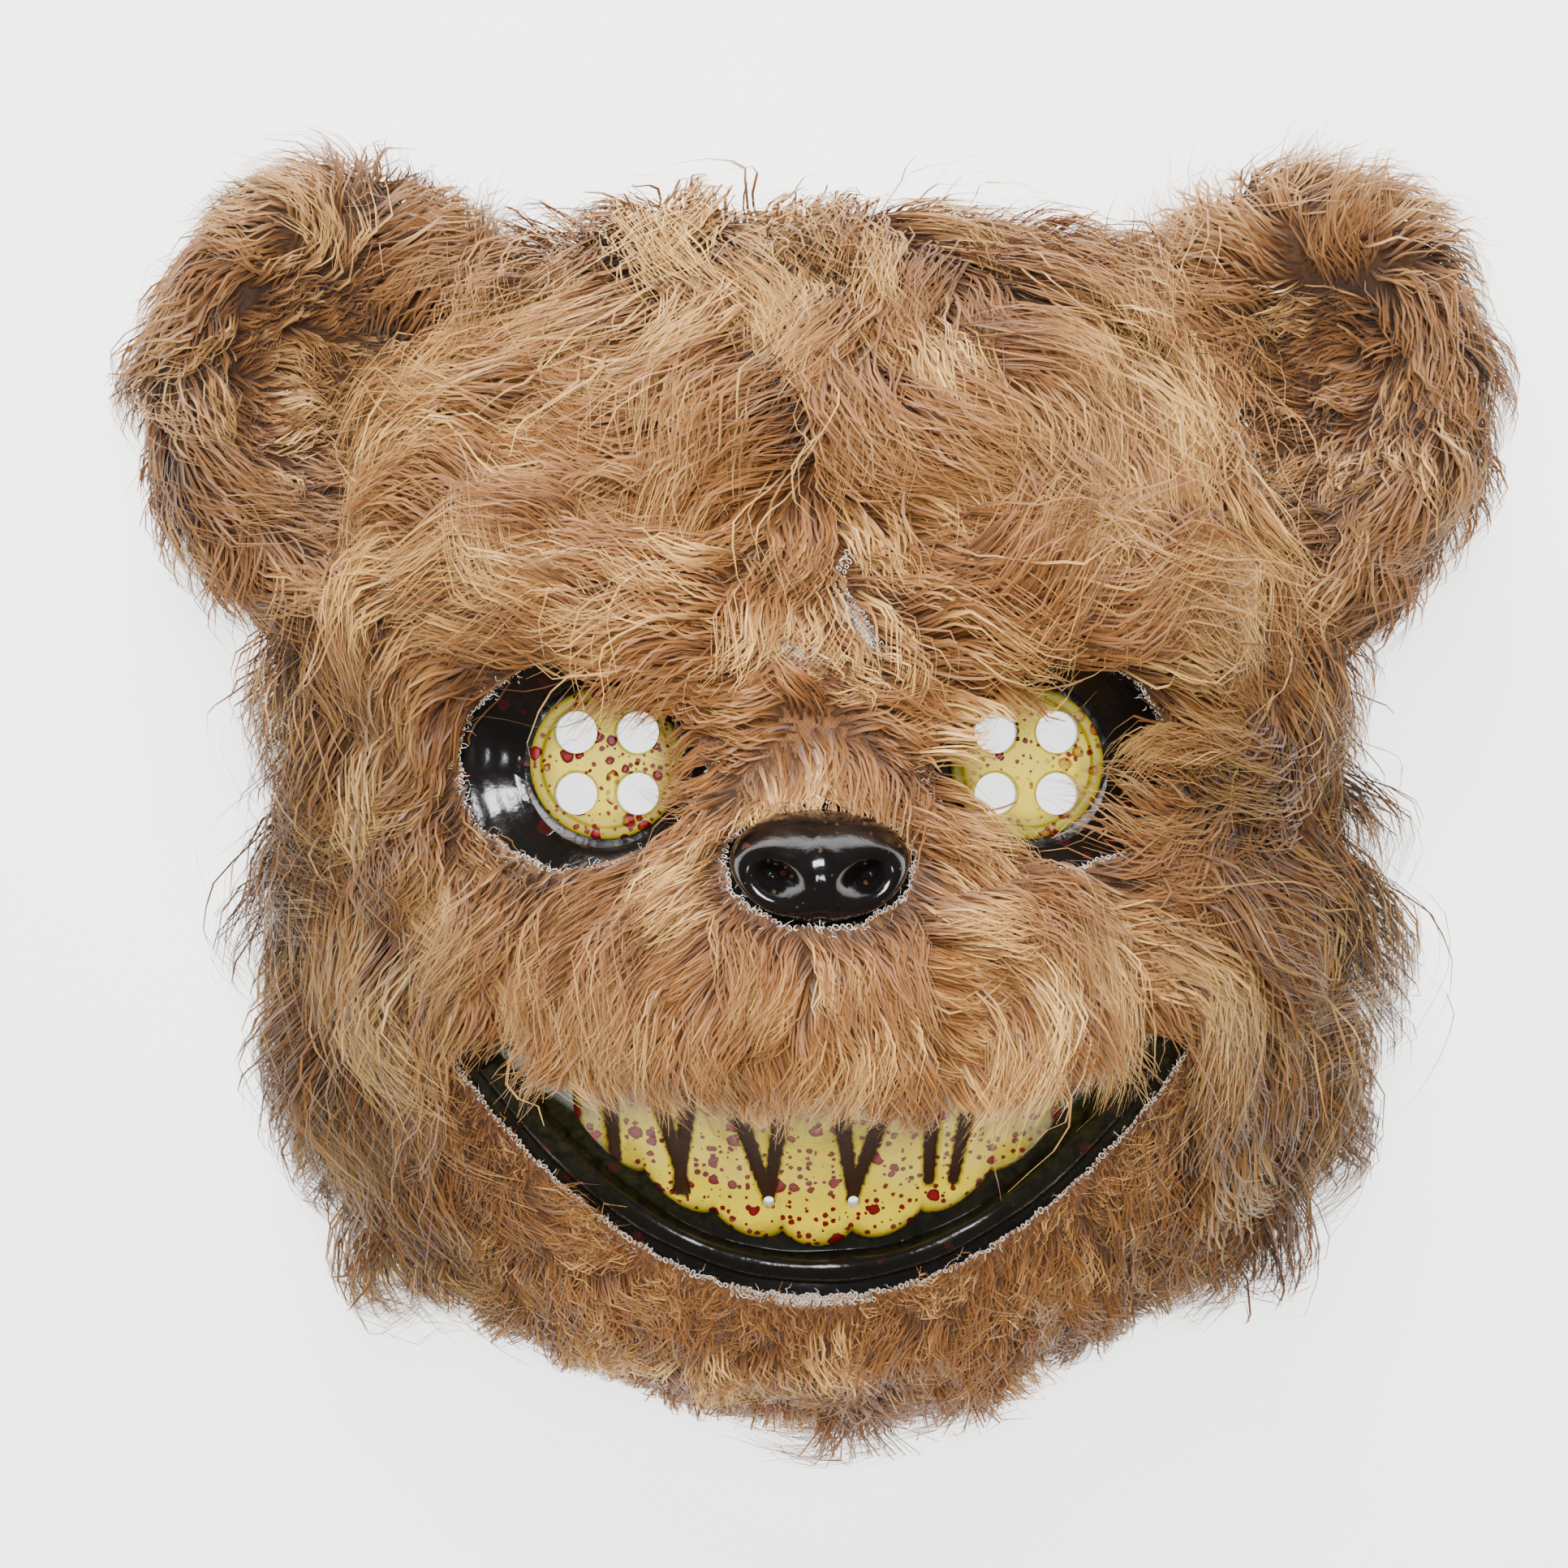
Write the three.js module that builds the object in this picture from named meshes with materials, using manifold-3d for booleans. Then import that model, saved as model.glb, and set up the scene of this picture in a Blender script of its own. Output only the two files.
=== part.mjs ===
// Bear face mask lying face up on its rim: a hollow black plastic face shell with sunk button
// eyes, a nose, a grin of teeth and a rolled lower lip, inside a long-pile fur cover with two
// cupped fur ears, and an elastic strap across the hollow.
// Millimetres. +Z comes out of the face, +Y runs to the crown, +X to the right seen from the front.
// The face is drawn about the middle of the cheek line, where the head is widest.

import * as THREE from "three";
import { mergeVertices } from "three/addons/utils/BufferGeometryUtils.js";
import Module from "manifold-3d";

const wasm = await Module();
wasm.setup();

// Head shell
const HEAD_HALF_WIDTH = 114;
const CROWN_HEIGHT = 158;
const CHIN_DROP = 108;
const SHELL_RISE = 60;
const SHELL_WALL = 2;
const CROWN_SQUARENESS = 3.2;
const CHIN_SQUARENESS = 2;
const DOME_SQUARENESS = 2.4;
const RIM_CALM = 6;

// Muzzle and nose
const MUZZLE_LINE = -8;
const MUZZLE_HALF_WIDTH = 50;
const MUZZLE_HALF_HEIGHT = 37;
const MUZZLE_RISE = 42;
const NOSE_LINE = 17;
const NOSE_HALF_WIDTH = 17.5;
const NOSE_HALF_HEIGHT = 11;
const NOSE_BULGE = 11;
const NOSTRIL_SPREAD = 8.5;
const NOSTRIL_RADIUS = 3.4;

// Button eyes and their pockets
const EYE_SPREAD = 45;
const EYE_LINE = 37.5;
const BUTTON_RADIUS = 16.4;
const BUTTON_THICKNESS = 3.6;
const BUTTON_RIM_WIDTH = 2.6;
const BUTTON_DISH = 1.2;
const BUTTON_HOLE_RADIUS = 4.5;
const BUTTON_HOLE_SPREAD = 6.6;
const POCKET_CLEARANCE = 1.4;
const POCKET_FLOOR = 46;
const SOCKET_HALF_WIDTH = 27;
const SOCKET_HALF_HEIGHT = 20;
const SOCKET_OUTSET = 8;
const SOCKET_DENT = 12;

// Mouth, teeth and lip
const MOUTH_HALF_WIDTH = 79;
const MOUTH_CORNER_LINE = -18;
const MOUTH_DROP = 55;
const MOUTH_ROOF_DROP = 12;
const MOUTH_CURVE = 2.3;
const MOUTH_DENT = 9;
const LIP_RADIUS = 3.4;
const TEETH_HALF_WIDTH = 51;
const TEETH_LOW_LINE = -62;
const TEETH_SIDE_LIFT = 26;
const TEETH_THICKNESS = 5;
const TEETH_BULGE = 1.6;
const TOOTH_WIDTH = 14.6;
const SCALLOP_DEPTH = 3;
const GROOVE_WIDTH = 2.2;
const GROOVE_DEPTH = 2;
const TOOTH_HOLE_RADIUS = 1.2;

// Fur cover
const SEAT_GAP = 0.3;
const BACKING = 2;
const HEM_RISE = 2;
const CUT_MARGIN = 2.2;
const LOCK_LENGTH = 40;
const LOCK_WIDTH = 27;
const LOCK_DEPTH = 8;
const LOCK_LIFT = 9;
const LOCK_SINK = 1.7;

// Ears
const EAR_SPREAD = 108;
const EAR_LINE = 118;
const EAR_HALF_WIDTH = 36;
const EAR_HALF_HEIGHT = 50;
const EAR_FOOT = 8;
const EAR_DEPTH = 40;
const EAR_CUP_OUTSET = 10;
const EAR_INNER_SINK = 0.55;
const EAR_LOCK_LENGTH = 22;

// Elastic strap
const STRAP_LINE = 52;
const STRAP_WIDTH = 10;
const STRAP_THICKNESS = 1.2;
const STRAP_TAB = 16;
const STRAP_RISE = 2;

// Facets
const SPOKES = 36;
const RINGS = 9;
const RING_CROWDING = 1.3;
const ROUND_SIDES = 20;
const HOLE_SIDES = 10;

const up = new THREE.Vector3(0, 0, 1);
const mix = THREE.MathUtils.lerp;
const degrees = THREE.MathUtils.degToRad;

// Swellings of the face. x and across are shares of the head's half width, y and along of the
// crown height, rise of the shell's rise; a row with an x is repeated on the other side.
const SWELLINGS = [
  { name: "bridge", x: 0, y: 0.24, across: 0.19, along: 0.16, tilt: 0, rise: 0.16 },
  { name: "brow", x: 0.42, y: 0.44, across: 0.4, along: 0.12, tilt: 14, rise: 0.24 },
  { name: "forehead", x: 0, y: 0.72, across: 0.62, along: 0.26, tilt: 0, rise: 0.22 },
  { name: "cheek", x: 0.72, y: -0.08, across: 0.28, along: 0.24, tilt: 0, rise: 0.2 },
  { name: "chin", x: 0, y: -0.55, across: 0.42, along: 0.12, tilt: 0, rise: 0.2 },
];

// A rounded bump: 1 at its centre, falling to nothing past its half sizes.
function bump(dx, dy, across, along, tilt = 0) {
  const turn = degrees(tilt);
  const a = (dx * Math.cos(turn) + dy * Math.sin(turn)) / across;
  const b = (dy * Math.cos(turn) - dx * Math.sin(turn)) / along;
  return Math.exp(-a * a - b * b);
}

// The lower edge of the grin, and the roof of the mouth hollow above it.
function mouthFloor(x) {
  const share = Math.min(Math.abs(x) / MOUTH_HALF_WIDTH, 1);
  return MOUTH_CORNER_LINE - MOUTH_DROP * (1 - share ** MOUTH_CURVE);
}

function mouthRoof(x) {
  const share = Math.min(Math.abs(x) / MOUTH_HALF_WIDTH, 1);
  return MOUTH_CORNER_LINE - MOUTH_ROOF_DROP * (1 - share * share);
}

function mouthDent(x, y) {
  const middle = (mouthFloor(x) + mouthRoof(x)) / 2;
  const half = Math.max((mouthRoof(x) - mouthFloor(x)) / 2, LIP_RADIUS);
  const fade = Math.max(1 - (x / MOUTH_HALF_WIDTH) ** 4, 0);
  return MOUTH_DENT * fade * bump(0, y - middle, 1, half);
}

// How far out from the cheek line's middle a point lies: 0 there, 1 on the rim.
function rimShare(x, y) {
  const power = y > 0 ? CROWN_SQUARENESS : CHIN_SQUARENESS;
  const reach = y > 0 ? CROWN_HEIGHT : CHIN_DROP;
  return (Math.abs(x / HEAD_HALF_WIDTH) ** power + Math.abs(y / reach) ** power) ** (1 / power);
}

// The height of the bare shell's outer face over the rim.
function faceHeight(x, y) {
  const share = Math.min(rimShare(x, y), 1);
  const dome = SHELL_RISE * (1 - share ** DOME_SQUARENESS) ** (1 / DOME_SQUARENESS);
  let swell = MUZZLE_RISE * bump(x, y - MUZZLE_LINE, MUZZLE_HALF_WIDTH, MUZZLE_HALF_HEIGHT);
  for (const row of SWELLINGS) {
    for (const side of row.x ? [1, -1] : [1]) {
      const dx = x * side - row.x * HEAD_HALF_WIDTH;
      const dy = y - row.y * CROWN_HEIGHT;
      const across = row.across * HEAD_HALF_WIDTH;
      swell += row.rise * SHELL_RISE * bump(dx, dy, across, row.along * CROWN_HEIGHT, row.tilt);
    }
  }
  for (const side of [1, -1]) {
    const dx = x * side - EYE_SPREAD - SOCKET_OUTSET;
    swell -= SOCKET_DENT * bump(dx, y - EYE_LINE, SOCKET_HALF_WIDTH, SOCKET_HALF_HEIGHT);
  }
  return dome + (swell - mouthDent(x, y)) * (1 - share ** RIM_CALM);
}

// A point of the shell's outer face: turn runs round the face, out from the middle to the rim.
function facePoint(turn, out) {
  const angle = turn * 2 * Math.PI;
  const power = Math.sin(angle) > 0 ? CROWN_SQUARENESS : CHIN_SQUARENESS;
  const reach = Math.sin(angle) > 0 ? CROWN_HEIGHT : CHIN_DROP;
  const share = Math.sin((out * Math.PI) / 2) ** (2 / DOME_SQUARENESS);
  const rimX = Math.sign(Math.cos(angle)) * Math.abs(Math.cos(angle)) ** (2 / power);
  const rimY = Math.sign(Math.sin(angle)) * Math.abs(Math.sin(angle)) ** (2 / power);
  const x = HEAD_HALF_WIDTH * rimX * share;
  const y = reach * rimY * share;
  return new THREE.Vector3(x, y, out >= 1 ? 0 : faceHeight(x, y));
}

function faceNormal(turn, out) {
  const step = 0.004;
  const near = Math.max(out, 0.02);
  const far = Math.min(near + step, 1);
  const around = facePoint(turn + step, near).sub(facePoint(turn - step, near));
  const outward = facePoint(turn, far).sub(facePoint(turn, far - 2 * step));
  if (out <= 0) {
    return up.clone();
  }
  if (out >= 1) {
    outward.set(0, 0, -1);
  }
  return outward.cross(around).normalize();
}

// A closed geometry through rings of points. The first and last rings are single points.
function loft(rings) {
  const points = rings.flat();
  const starts = [];
  let start = 0;
  for (const ring of rings) {
    starts.push(start);
    start += ring.length;
  }
  const faces = [];
  for (let row = 0; row + 1 < rings.length; row += 1) {
    const here = rings[row].length;
    const next = rings[row + 1].length;
    const sides = Math.max(here, next);
    for (let i = 0; i < sides; i += 1) {
      const j = (i + 1) % sides;
      const a = starts[row] + (i % here);
      const b = starts[row] + (j % here);
      const c = starts[row + 1] + (j % next);
      const d = starts[row + 1] + (i % next);
      if (here > 1) {
        faces.push(a, c, b);
      }
      if (next > 1) {
        faces.push(a, d, c);
      }
    }
  }
  const geometry = new THREE.BufferGeometry().setFromPoints(points);
  geometry.setIndex(faces);
  return geometry;
}

function signedVolume(geometry) {
  const place = geometry.getAttribute("position");
  const index = geometry.index.array;
  const corner = [new THREE.Vector3(), new THREE.Vector3(), new THREE.Vector3()];
  let volume = 0;
  for (let i = 0; i < index.length; i += 3) {
    corner.forEach((point, k) => point.fromBufferAttribute(place, index[i + k]));
    volume += corner[0].dot(corner[1].clone().cross(corner[2])) / 6;
  }
  return volume;
}

// Three.js geometry to a solid that can be joined and cut, and back.
function solid(geometry) {
  const bare = geometry.clone();
  bare.deleteAttribute("normal");
  bare.deleteAttribute("uv");
  const merged = mergeVertices(bare, 1e-4);
  const triVerts = Uint32Array.from(merged.index.array);
  if (signedVolume(merged) < 0) {
    triVerts.reverse();
  }
  const vertProperties = Float32Array.from(merged.getAttribute("position").array);
  return new wasm.Manifold(new wasm.Mesh({ numProp: 3, vertProperties, triVerts }));
}

function geometryOf(body) {
  const mesh = body.getMesh();
  const geometry = new THREE.BufferGeometry();
  geometry.setAttribute("position", new THREE.BufferAttribute(mesh.vertProperties, 3));
  geometry.setIndex(new THREE.BufferAttribute(mesh.triVerts, 1));
  geometry.computeVertexNormals();
  return geometry;
}

function joined(bodies) {
  return bodies.reduce((whole, body) => whole.add(body));
}

function prism(outline, low, high) {
  const shape = new THREE.Shape(outline);
  const geometry = new THREE.ExtrudeGeometry(shape, { depth: high - low, bevelEnabled: false });
  return solid(geometry.translate(0, 0, low));
}

function peg(x, y, radius, low, high, sides = ROUND_SIDES) {
  const geometry = new THREE.CylinderGeometry(radius, radius, high - low, sides);
  return solid(geometry.rotateX(Math.PI / 2).translate(x, y, (low + high) / 2));
}

// Everything under the face, grown outwards by a distance and closed by a flat floor.
function underFace(grow, floor = 0) {
  const rings = [[new THREE.Vector3(0, 0, faceHeight(0, 0) + grow)]];
  for (let ring = 1; ring <= RINGS; ring += 1) {
    const out = (ring / RINGS) ** RING_CROWDING;
    const points = [];
    for (let spoke = 0; spoke < SPOKES; spoke += 1) {
      const turn = spoke / SPOKES;
      points.push(facePoint(turn, out).addScaledVector(faceNormal(turn, out), grow));
    }
    rings.push(points);
  }
  if (floor < 0) {
    rings.push(rings[RINGS].map((point) => new THREE.Vector3(point.x, point.y, floor)));
  }
  rings.push([new THREE.Vector3(0, 0, floor)]);
  return solid(loft(rings));
}

const BELOW = -10;
const ABOVE = SHELL_RISE + MUZZLE_RISE + LOCK_LENGTH;
const underSeat = underFace(SEAT_GAP, BELOW);
const coverTop = SEAT_GAP + BACKING;

// Eyes: each pocket is a round well in the shell, and its floor has the button's holes.
const pocketRadius = BUTTON_RADIUS + POCKET_CLEARANCE;

function buttonHoles(x, low, high) {
  const holes = [];
  for (const [sx, sy] of [[1, 1], [1, -1], [-1, 1], [-1, -1]]) {
    const holeX = x + sx * BUTTON_HOLE_SPREAD;
    const holeY = EYE_LINE + sy * BUTTON_HOLE_SPREAD;
    holes.push(peg(holeX, holeY, BUTTON_HOLE_RADIUS, low, high, HOLE_SIDES));
  }
  return joined(holes);
}

function buttonEye(side) {
  const x = side * EYE_SPREAD;
  const low = POCKET_FLOOR + SEAT_GAP;
  const dishTop = BUTTON_THICKNESS - BUTTON_DISH;
  const edge = BUTTON_DISH / 2;
  const inner = BUTTON_RADIUS - BUTTON_RIM_WIDTH;
  const profile = [
    new THREE.Vector2(0, 0),
    new THREE.Vector2(BUTTON_RADIUS, 0),
    new THREE.Vector2(BUTTON_RADIUS, BUTTON_THICKNESS - edge),
    new THREE.Vector2(BUTTON_RADIUS - edge, BUTTON_THICKNESS),
    new THREE.Vector2(inner, BUTTON_THICKNESS),
    new THREE.Vector2(inner - edge, dishTop),
    new THREE.Vector2(0, dishTop),
  ];
  const disc = new THREE.LatheGeometry(profile, ROUND_SIDES).rotateX(Math.PI / 2);
  const body = solid(disc.translate(x, EYE_LINE, low));
  return body.subtract(buttonHoles(x, low - 1, low + BUTTON_THICKNESS + 1));
}

// Lip: a round roll along the lower edge of the grin, moulded with the shell.
function lipRoll() {
  const steps = 18;
  const sides = 6;
  const path = [];
  for (let i = 0; i <= steps; i += 1) {
    const share = mix(-1, 1, i / steps) * (1 - (2 * LIP_RADIUS) / MOUTH_HALF_WIDTH);
    const x = share * (MOUTH_HALF_WIDTH - LIP_RADIUS);
    const y = mouthFloor(share * MOUTH_HALF_WIDTH) + LIP_RADIUS;
    path.push(new THREE.Vector3(x, y, faceHeight(x, y)));
  }
  const rings = path.map((point, i) => {
    const along = path[Math.min(i + 1, steps)].clone().sub(path[Math.max(i - 1, 0)]).normalize();
    const across = up.clone().cross(along).normalize();
    const out = along.clone().cross(across);
    return Array.from({ length: sides }, (_, k) => {
      const angle = (k / sides) * 2 * Math.PI;
      return point.clone()
        .addScaledVector(across, LIP_RADIUS * Math.cos(angle))
        .addScaledVector(out, LIP_RADIUS * Math.sin(angle));
    });
  });
  return solid(loft([[path[0]], ...rings, [path[steps]]]));
}

// Teeth: a curved band on the lower slope of the muzzle with a scalloped edge and slanted grooves.
function toothEdge(x) {
  const side = Math.abs(x) / TEETH_HALF_WIDTH;
  const scallop = Math.abs(Math.cos((Math.PI * x) / TOOTH_WIDTH));
  return TEETH_LOW_LINE + TEETH_SIDE_LIFT * side * side - SCALLOP_DEPTH * Math.sqrt(scallop) + SCALLOP_DEPTH;
}

function toothFront(x, y) {
  const across = Math.cos((Math.PI * x) / TOOTH_WIDTH) ** 2;
  return faceHeight(x, y) + SEAT_GAP + TEETH_THICKNESS + TEETH_BULGE * across;
}

// Grooves: x and the slant are shares of a tooth's width, top and foot of the band's height.
const GROOVES = [
  { x: -2.95, slant: 0.05, top: 1, foot: 0.55 },
  { x: -2.3, slant: 0.4, top: 1, foot: 0.35 },
  { x: -1.75, slant: -0.25, top: 1, foot: 0.35 },
  { x: -1.25, slant: 0.55, top: 1, foot: 0.3 },
  { x: -0.45, slant: -0.25, top: 1, foot: 0.3 },
  { x: 0.22, slant: 0.3, top: 1, foot: 0.3 },
  { x: 1.0, slant: -0.5, top: 1, foot: 0.3 },
  { x: 1.55, slant: 0.05, top: 1, foot: 0.42 },
  { x: 2.15, slant: -0.2, top: 1, foot: 0.42 },
];

function toothHoles() {
  const bandHeight = mouthRoof(0) - TEETH_LOW_LINE;
  const chosen = [GROOVES[3], GROOVES[5]];
  return joined(chosen.map((row) => {
    const x = (row.x + row.slant) * TOOTH_WIDTH;
    const y = TEETH_LOW_LINE + row.foot * bandHeight - TOOTH_HOLE_RADIUS / 2;
    return peg(x, y, TOOTH_HOLE_RADIUS, SHELL_RISE / 2, ABOVE, 8);
  }));
}

function teeth() {
  const columns = 30;
  const rows = 3;
  const rings = [];
  for (let i = 0; i <= columns; i += 1) {
    const x = mix(-1, 1, i / columns) * TEETH_HALF_WIDTH;
    const front = [];
    const back = [];
    for (let k = 0; k <= rows; k += 1) {
      const y = mix(toothEdge(x), mouthRoof(x), k / rows);
      front.push(new THREE.Vector3(x, y, toothFront(x, y)));
      back.push(new THREE.Vector3(x, y, faceHeight(x, y) - TEETH_THICKNESS));
    }
    rings.push([...front, ...back.reverse()]);
  }
  const middle = (ring) => ring.reduce((sum, p) => sum.add(p), new THREE.Vector3()).divideScalar(ring.length);
  const band = solid(loft([[middle(rings[0])], ...rings, [middle(rings[columns])]]));
  const bandHeight = mouthRoof(0) - TEETH_LOW_LINE;
  const cuts = GROOVES.map((row) => {
    const top = new THREE.Vector2(row.x * TOOTH_WIDTH, mouthRoof(0) + TEETH_THICKNESS);
    const foot = new THREE.Vector2(
      (row.x + row.slant) * TOOTH_WIDTH,
      TEETH_LOW_LINE + row.foot * bandHeight,
    );
    const aside = foot.clone().sub(top).rotateAround(new THREE.Vector2(), Math.PI / 2);
    aside.setLength(GROOVE_WIDTH / 2);
    const outline = [top.clone().add(aside), foot, top.clone().sub(aside)];
    return prism(outline, BELOW, ABOVE);
  });
  const grooveFloor = underFace(SEAT_GAP + TEETH_THICKNESS - GROOVE_DEPTH, BELOW);
  const grooved = band.subtract(joined(cuts).subtract(grooveFloor));
  return grooved.subtract(underSeat).subtract(toothHoles());
}

// Nose: a squat bulb on the muzzle with two nostrils.
function nose() {
  const base = faceHeight(0, NOSE_LINE);
  const ball = new THREE.SphereGeometry(1, 18, 10);
  ball.rotateX(Math.PI / 2);
  const place = ball.getAttribute("position");
  for (let i = 0; i < place.count; i += 1) {
    const narrow = mix(0.88, 1.12, (place.getY(i) + 1) / 2);
    place.setX(i, place.getX(i) * narrow);
  }
  ball.scale(NOSE_HALF_WIDTH, NOSE_HALF_HEIGHT, NOSE_BULGE);
  const body = solid(ball.translate(0, NOSE_LINE, base)).subtract(underSeat);
  const nostrils = [1, -1].map((side) => {
    const drop = NOSE_HALF_HEIGHT * 0.55;
    const nostril = new THREE.SphereGeometry(NOSTRIL_RADIUS, 10, 6).scale(1.3, 0.9, 1);
    nostril.translate(side * NOSTRIL_SPREAD, NOSE_LINE - drop, base + NOSE_BULGE * 0.72);
    return solid(nostril);
  });
  return body.subtract(joined(nostrils));
}

function faceShell() {
  const outside = underFace(0);
  const wells = [1, -1].map((side) => {
    const x = side * EYE_SPREAD;
    const low = POCKET_FLOOR - SHELL_WALL;
    return peg(x, EYE_LINE, pocketRadius + SHELL_WALL, low, ABOVE).intersect(outside);
  });
  const wall = outside.subtract(underFace(-SHELL_WALL, BELOW));
  const pockets = [1, -1].map((side) => {
    const x = side * EYE_SPREAD;
    const well = peg(x, EYE_LINE, pocketRadius, POCKET_FLOOR, ABOVE);
    return well.add(buttonHoles(x, POCKET_FLOOR - 2 * SHELL_WALL, POCKET_FLOOR + 1));
  });
  const lipOutside = lipRoll().subtract(underFace(-SHELL_WALL, BELOW));
  return joined([wall, ...wells, lipOutside]).subtract(joined(pockets)).subtract(toothHoles());
}

// Openings of the fur cover, each cut straight through along Z.
function eyeOpening(side) {
  const outline = [];
  for (let i = 0; i < ROUND_SIDES; i += 1) {
    const angle = (i / ROUND_SIDES) * 2 * Math.PI;
    const x = EYE_SPREAD + SOCKET_OUTSET * 0.6 + SOCKET_HALF_WIDTH * Math.cos(angle);
    const y = EYE_LINE + (SOCKET_HALF_HEIGHT + CUT_MARGIN) * Math.sin(angle);
    outline.push(new THREE.Vector2(side * x, y));
  }
  return prism(outline, BELOW, ABOVE);
}

function noseOpening() {
  const outline = [];
  for (let i = 0; i < ROUND_SIDES; i += 1) {
    const angle = (i / ROUND_SIDES) * 2 * Math.PI;
    const x = (NOSE_HALF_WIDTH + CUT_MARGIN) * Math.cos(angle);
    const y = NOSE_LINE + (NOSE_HALF_HEIGHT + CUT_MARGIN) * Math.sin(angle);
    outline.push(new THREE.Vector2(x, y));
  }
  return prism(outline, BELOW, ABOVE);
}

function mouthOpening() {
  const steps = 24;
  const lower = [];
  const upper = [];
  for (let i = 0; i <= steps; i += 1) {
    const x = mix(-1, 1, i / steps) * MOUTH_HALF_WIDTH;
    lower.push(new THREE.Vector2(x, mouthFloor(x) - CUT_MARGIN));
    upper.push(new THREE.Vector2(x, mouthRoof(x) + CUT_MARGIN));
  }
  return prism([...lower, ...upper.reverse()], BELOW, ABOVE);
}

// A lock of fur: a flat curved blade that leaves the backing and ends in a point.
function lock(root, along, out, length, width, lift) {
  const across = along.clone().cross(out).normalize();
  const stations = [
    { at: 0, wide: 0.7, deep: 0.8, lifted: 0 },
    { at: 0.35, wide: 1, deep: 1, lifted: 0.7 },
    { at: 0.72, wide: 0.6, deep: 0.6, lifted: 1 },
  ];
  const rings = stations.map((row) => {
    const centre = root.clone()
      .addScaledVector(along, length * row.at)
      .addScaledVector(out, lift * row.lifted);
    const side = across.clone().multiplyScalar((width / 2) * row.wide);
    const thick = out.clone().multiplyScalar(LOCK_DEPTH * row.deep);
    return [
      centre.clone().add(side),
      centre.clone().add(thick),
      centre.clone().sub(side),
    ];
  });
  const tip = root.clone().addScaledVector(along, length).addScaledVector(out, lift * 0.7);
  return solid(loft([[root.clone().addScaledVector(along, -width / 6)], ...rings, [tip]]));
}

// Rows of locks round the face, from the muzzle out to the rim. out is the share of the way to
// the rim, size scales the lock, lift its rise off the backing, and comb turns it from straight
// out (0) to round the face (1), away from the crown and towards the chin.
const ROUND_ROWS = [
  { out: 0.17, count: 8, size: 0.6, lift: 0.8, comb: 0.1 },
  { out: 0.28, count: 11, size: 0.8, lift: 0.9, comb: 0.1 },
  { out: 0.42, count: 13, size: 0.95, lift: 1, comb: 0.2 },
  { out: 0.57, count: 15, size: 1, lift: 1.1, comb: 0.4 },
  { out: 0.74, count: 16, size: 1, lift: 1.3, comb: 0.7 },
  { out: 0.9, count: 19, size: 1, lift: 1.2, comb: 0.92 },
];

// Rows of locks across the forehead. y is a share of the crown height, reach of the half width,
// and fan is the angle from straight down that a row's outermost locks are combed to.
const FOREHEAD_ROWS = [
  { y: 0.9, reach: 0.6, count: 6, size: 1, lift: 1, fan: 80 },
  { y: 0.72, reach: 0.68, count: 7, size: 1, lift: 1, fan: 70 },
  { y: 0.55, reach: 0.72, count: 6, size: 1, lift: 1.1, fan: 70 },
  { y: 0.42, reach: 0.66, count: 5, size: 0.85, lift: 1.1, fan: 85 },
];
const FOREHEAD_LINE = 0.38;

function overEar(point) {
  const dx = (Math.abs(point.x) - EAR_SPREAD - EAR_CUP_OUTSET) / (EAR_HALF_WIDTH + LOCK_DEPTH / 2);
  const dy = (point.y - EAR_LINE) / (EAR_HALF_HEIGHT + LOCK_DEPTH);
  return dx * dx + dy * dy < 1;
}

function overOpening(point) {
  const margin = LOCK_DEPTH;
  const eyeX = (Math.abs(point.x) - EYE_SPREAD) / (SOCKET_HALF_WIDTH + margin);
  const eyeY = (point.y - EYE_LINE) / (SOCKET_HALF_HEIGHT + margin);
  const noseX = point.x / (NOSE_HALF_WIDTH + margin);
  const noseY = (point.y - NOSE_LINE) / (NOSE_HALF_HEIGHT + margin);
  const inMouth = Math.abs(point.x) < MOUTH_HALF_WIDTH
    && point.y > mouthFloor(point.x) - margin && point.y < mouthRoof(point.x) + margin;
  return eyeX * eyeX + eyeY * eyeY < 1 || noseX * noseX + noseY * noseY < 1 || inMouth;
}

// The face's point and normal over x and y, for places well inside the rim.
function faceOver(x, y) {
  const step = 0.5;
  const slopeX = (faceHeight(x + step, y) - faceHeight(x - step, y)) / (2 * step);
  const slopeY = (faceHeight(x, y + step) - faceHeight(x, y - step)) / (2 * step);
  return [new THREE.Vector3(x, y, faceHeight(x, y)), new THREE.Vector3(-slopeX, -slopeY, 1).normalize()];
}

function clearLock(point, normal, along, row, length) {
  const root = point.clone().addScaledVector(normal, coverTop - LOCK_SINK);
  const tip = root.clone().addScaledVector(along, length);
  if (overOpening(root) || overOpening(tip) || overEar(root) || overEar(tip)) {
    return [];
  }
  return [lock(root, along, normal, length, LOCK_WIDTH * row.size, LOCK_LIFT * row.lift)];
}

function roundLocks() {
  return ROUND_ROWS.flatMap((row, number) => Array.from({ length: row.count }, (_, i) => {
    const turn = (i + (number % 2) / 2) / row.count;
    const point = facePoint(turn, row.out);
    if (row.out < ROUND_ROWS.at(-1).out && point.y > FOREHEAD_LINE * CROWN_HEIGHT) {
      return [];
    }
    const length = LOCK_LENGTH * row.size * (1 + 0.15 * Math.sin(7 * i + 3 * number));
    const chinward = Math.cos(turn * 2 * Math.PI) > 0 ? -1 : 1;
    const outward = facePoint(turn, row.out + 0.05).sub(facePoint(turn, row.out - 0.05)).normalize();
    const around = facePoint(turn + 0.01 * chinward, row.out).sub(point).normalize();
    const along = outward.multiplyScalar(1 - row.comb).addScaledVector(around, row.comb).normalize();
    return clearLock(point, faceNormal(turn, row.out), along, row, length);
  }).flat());
}

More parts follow.
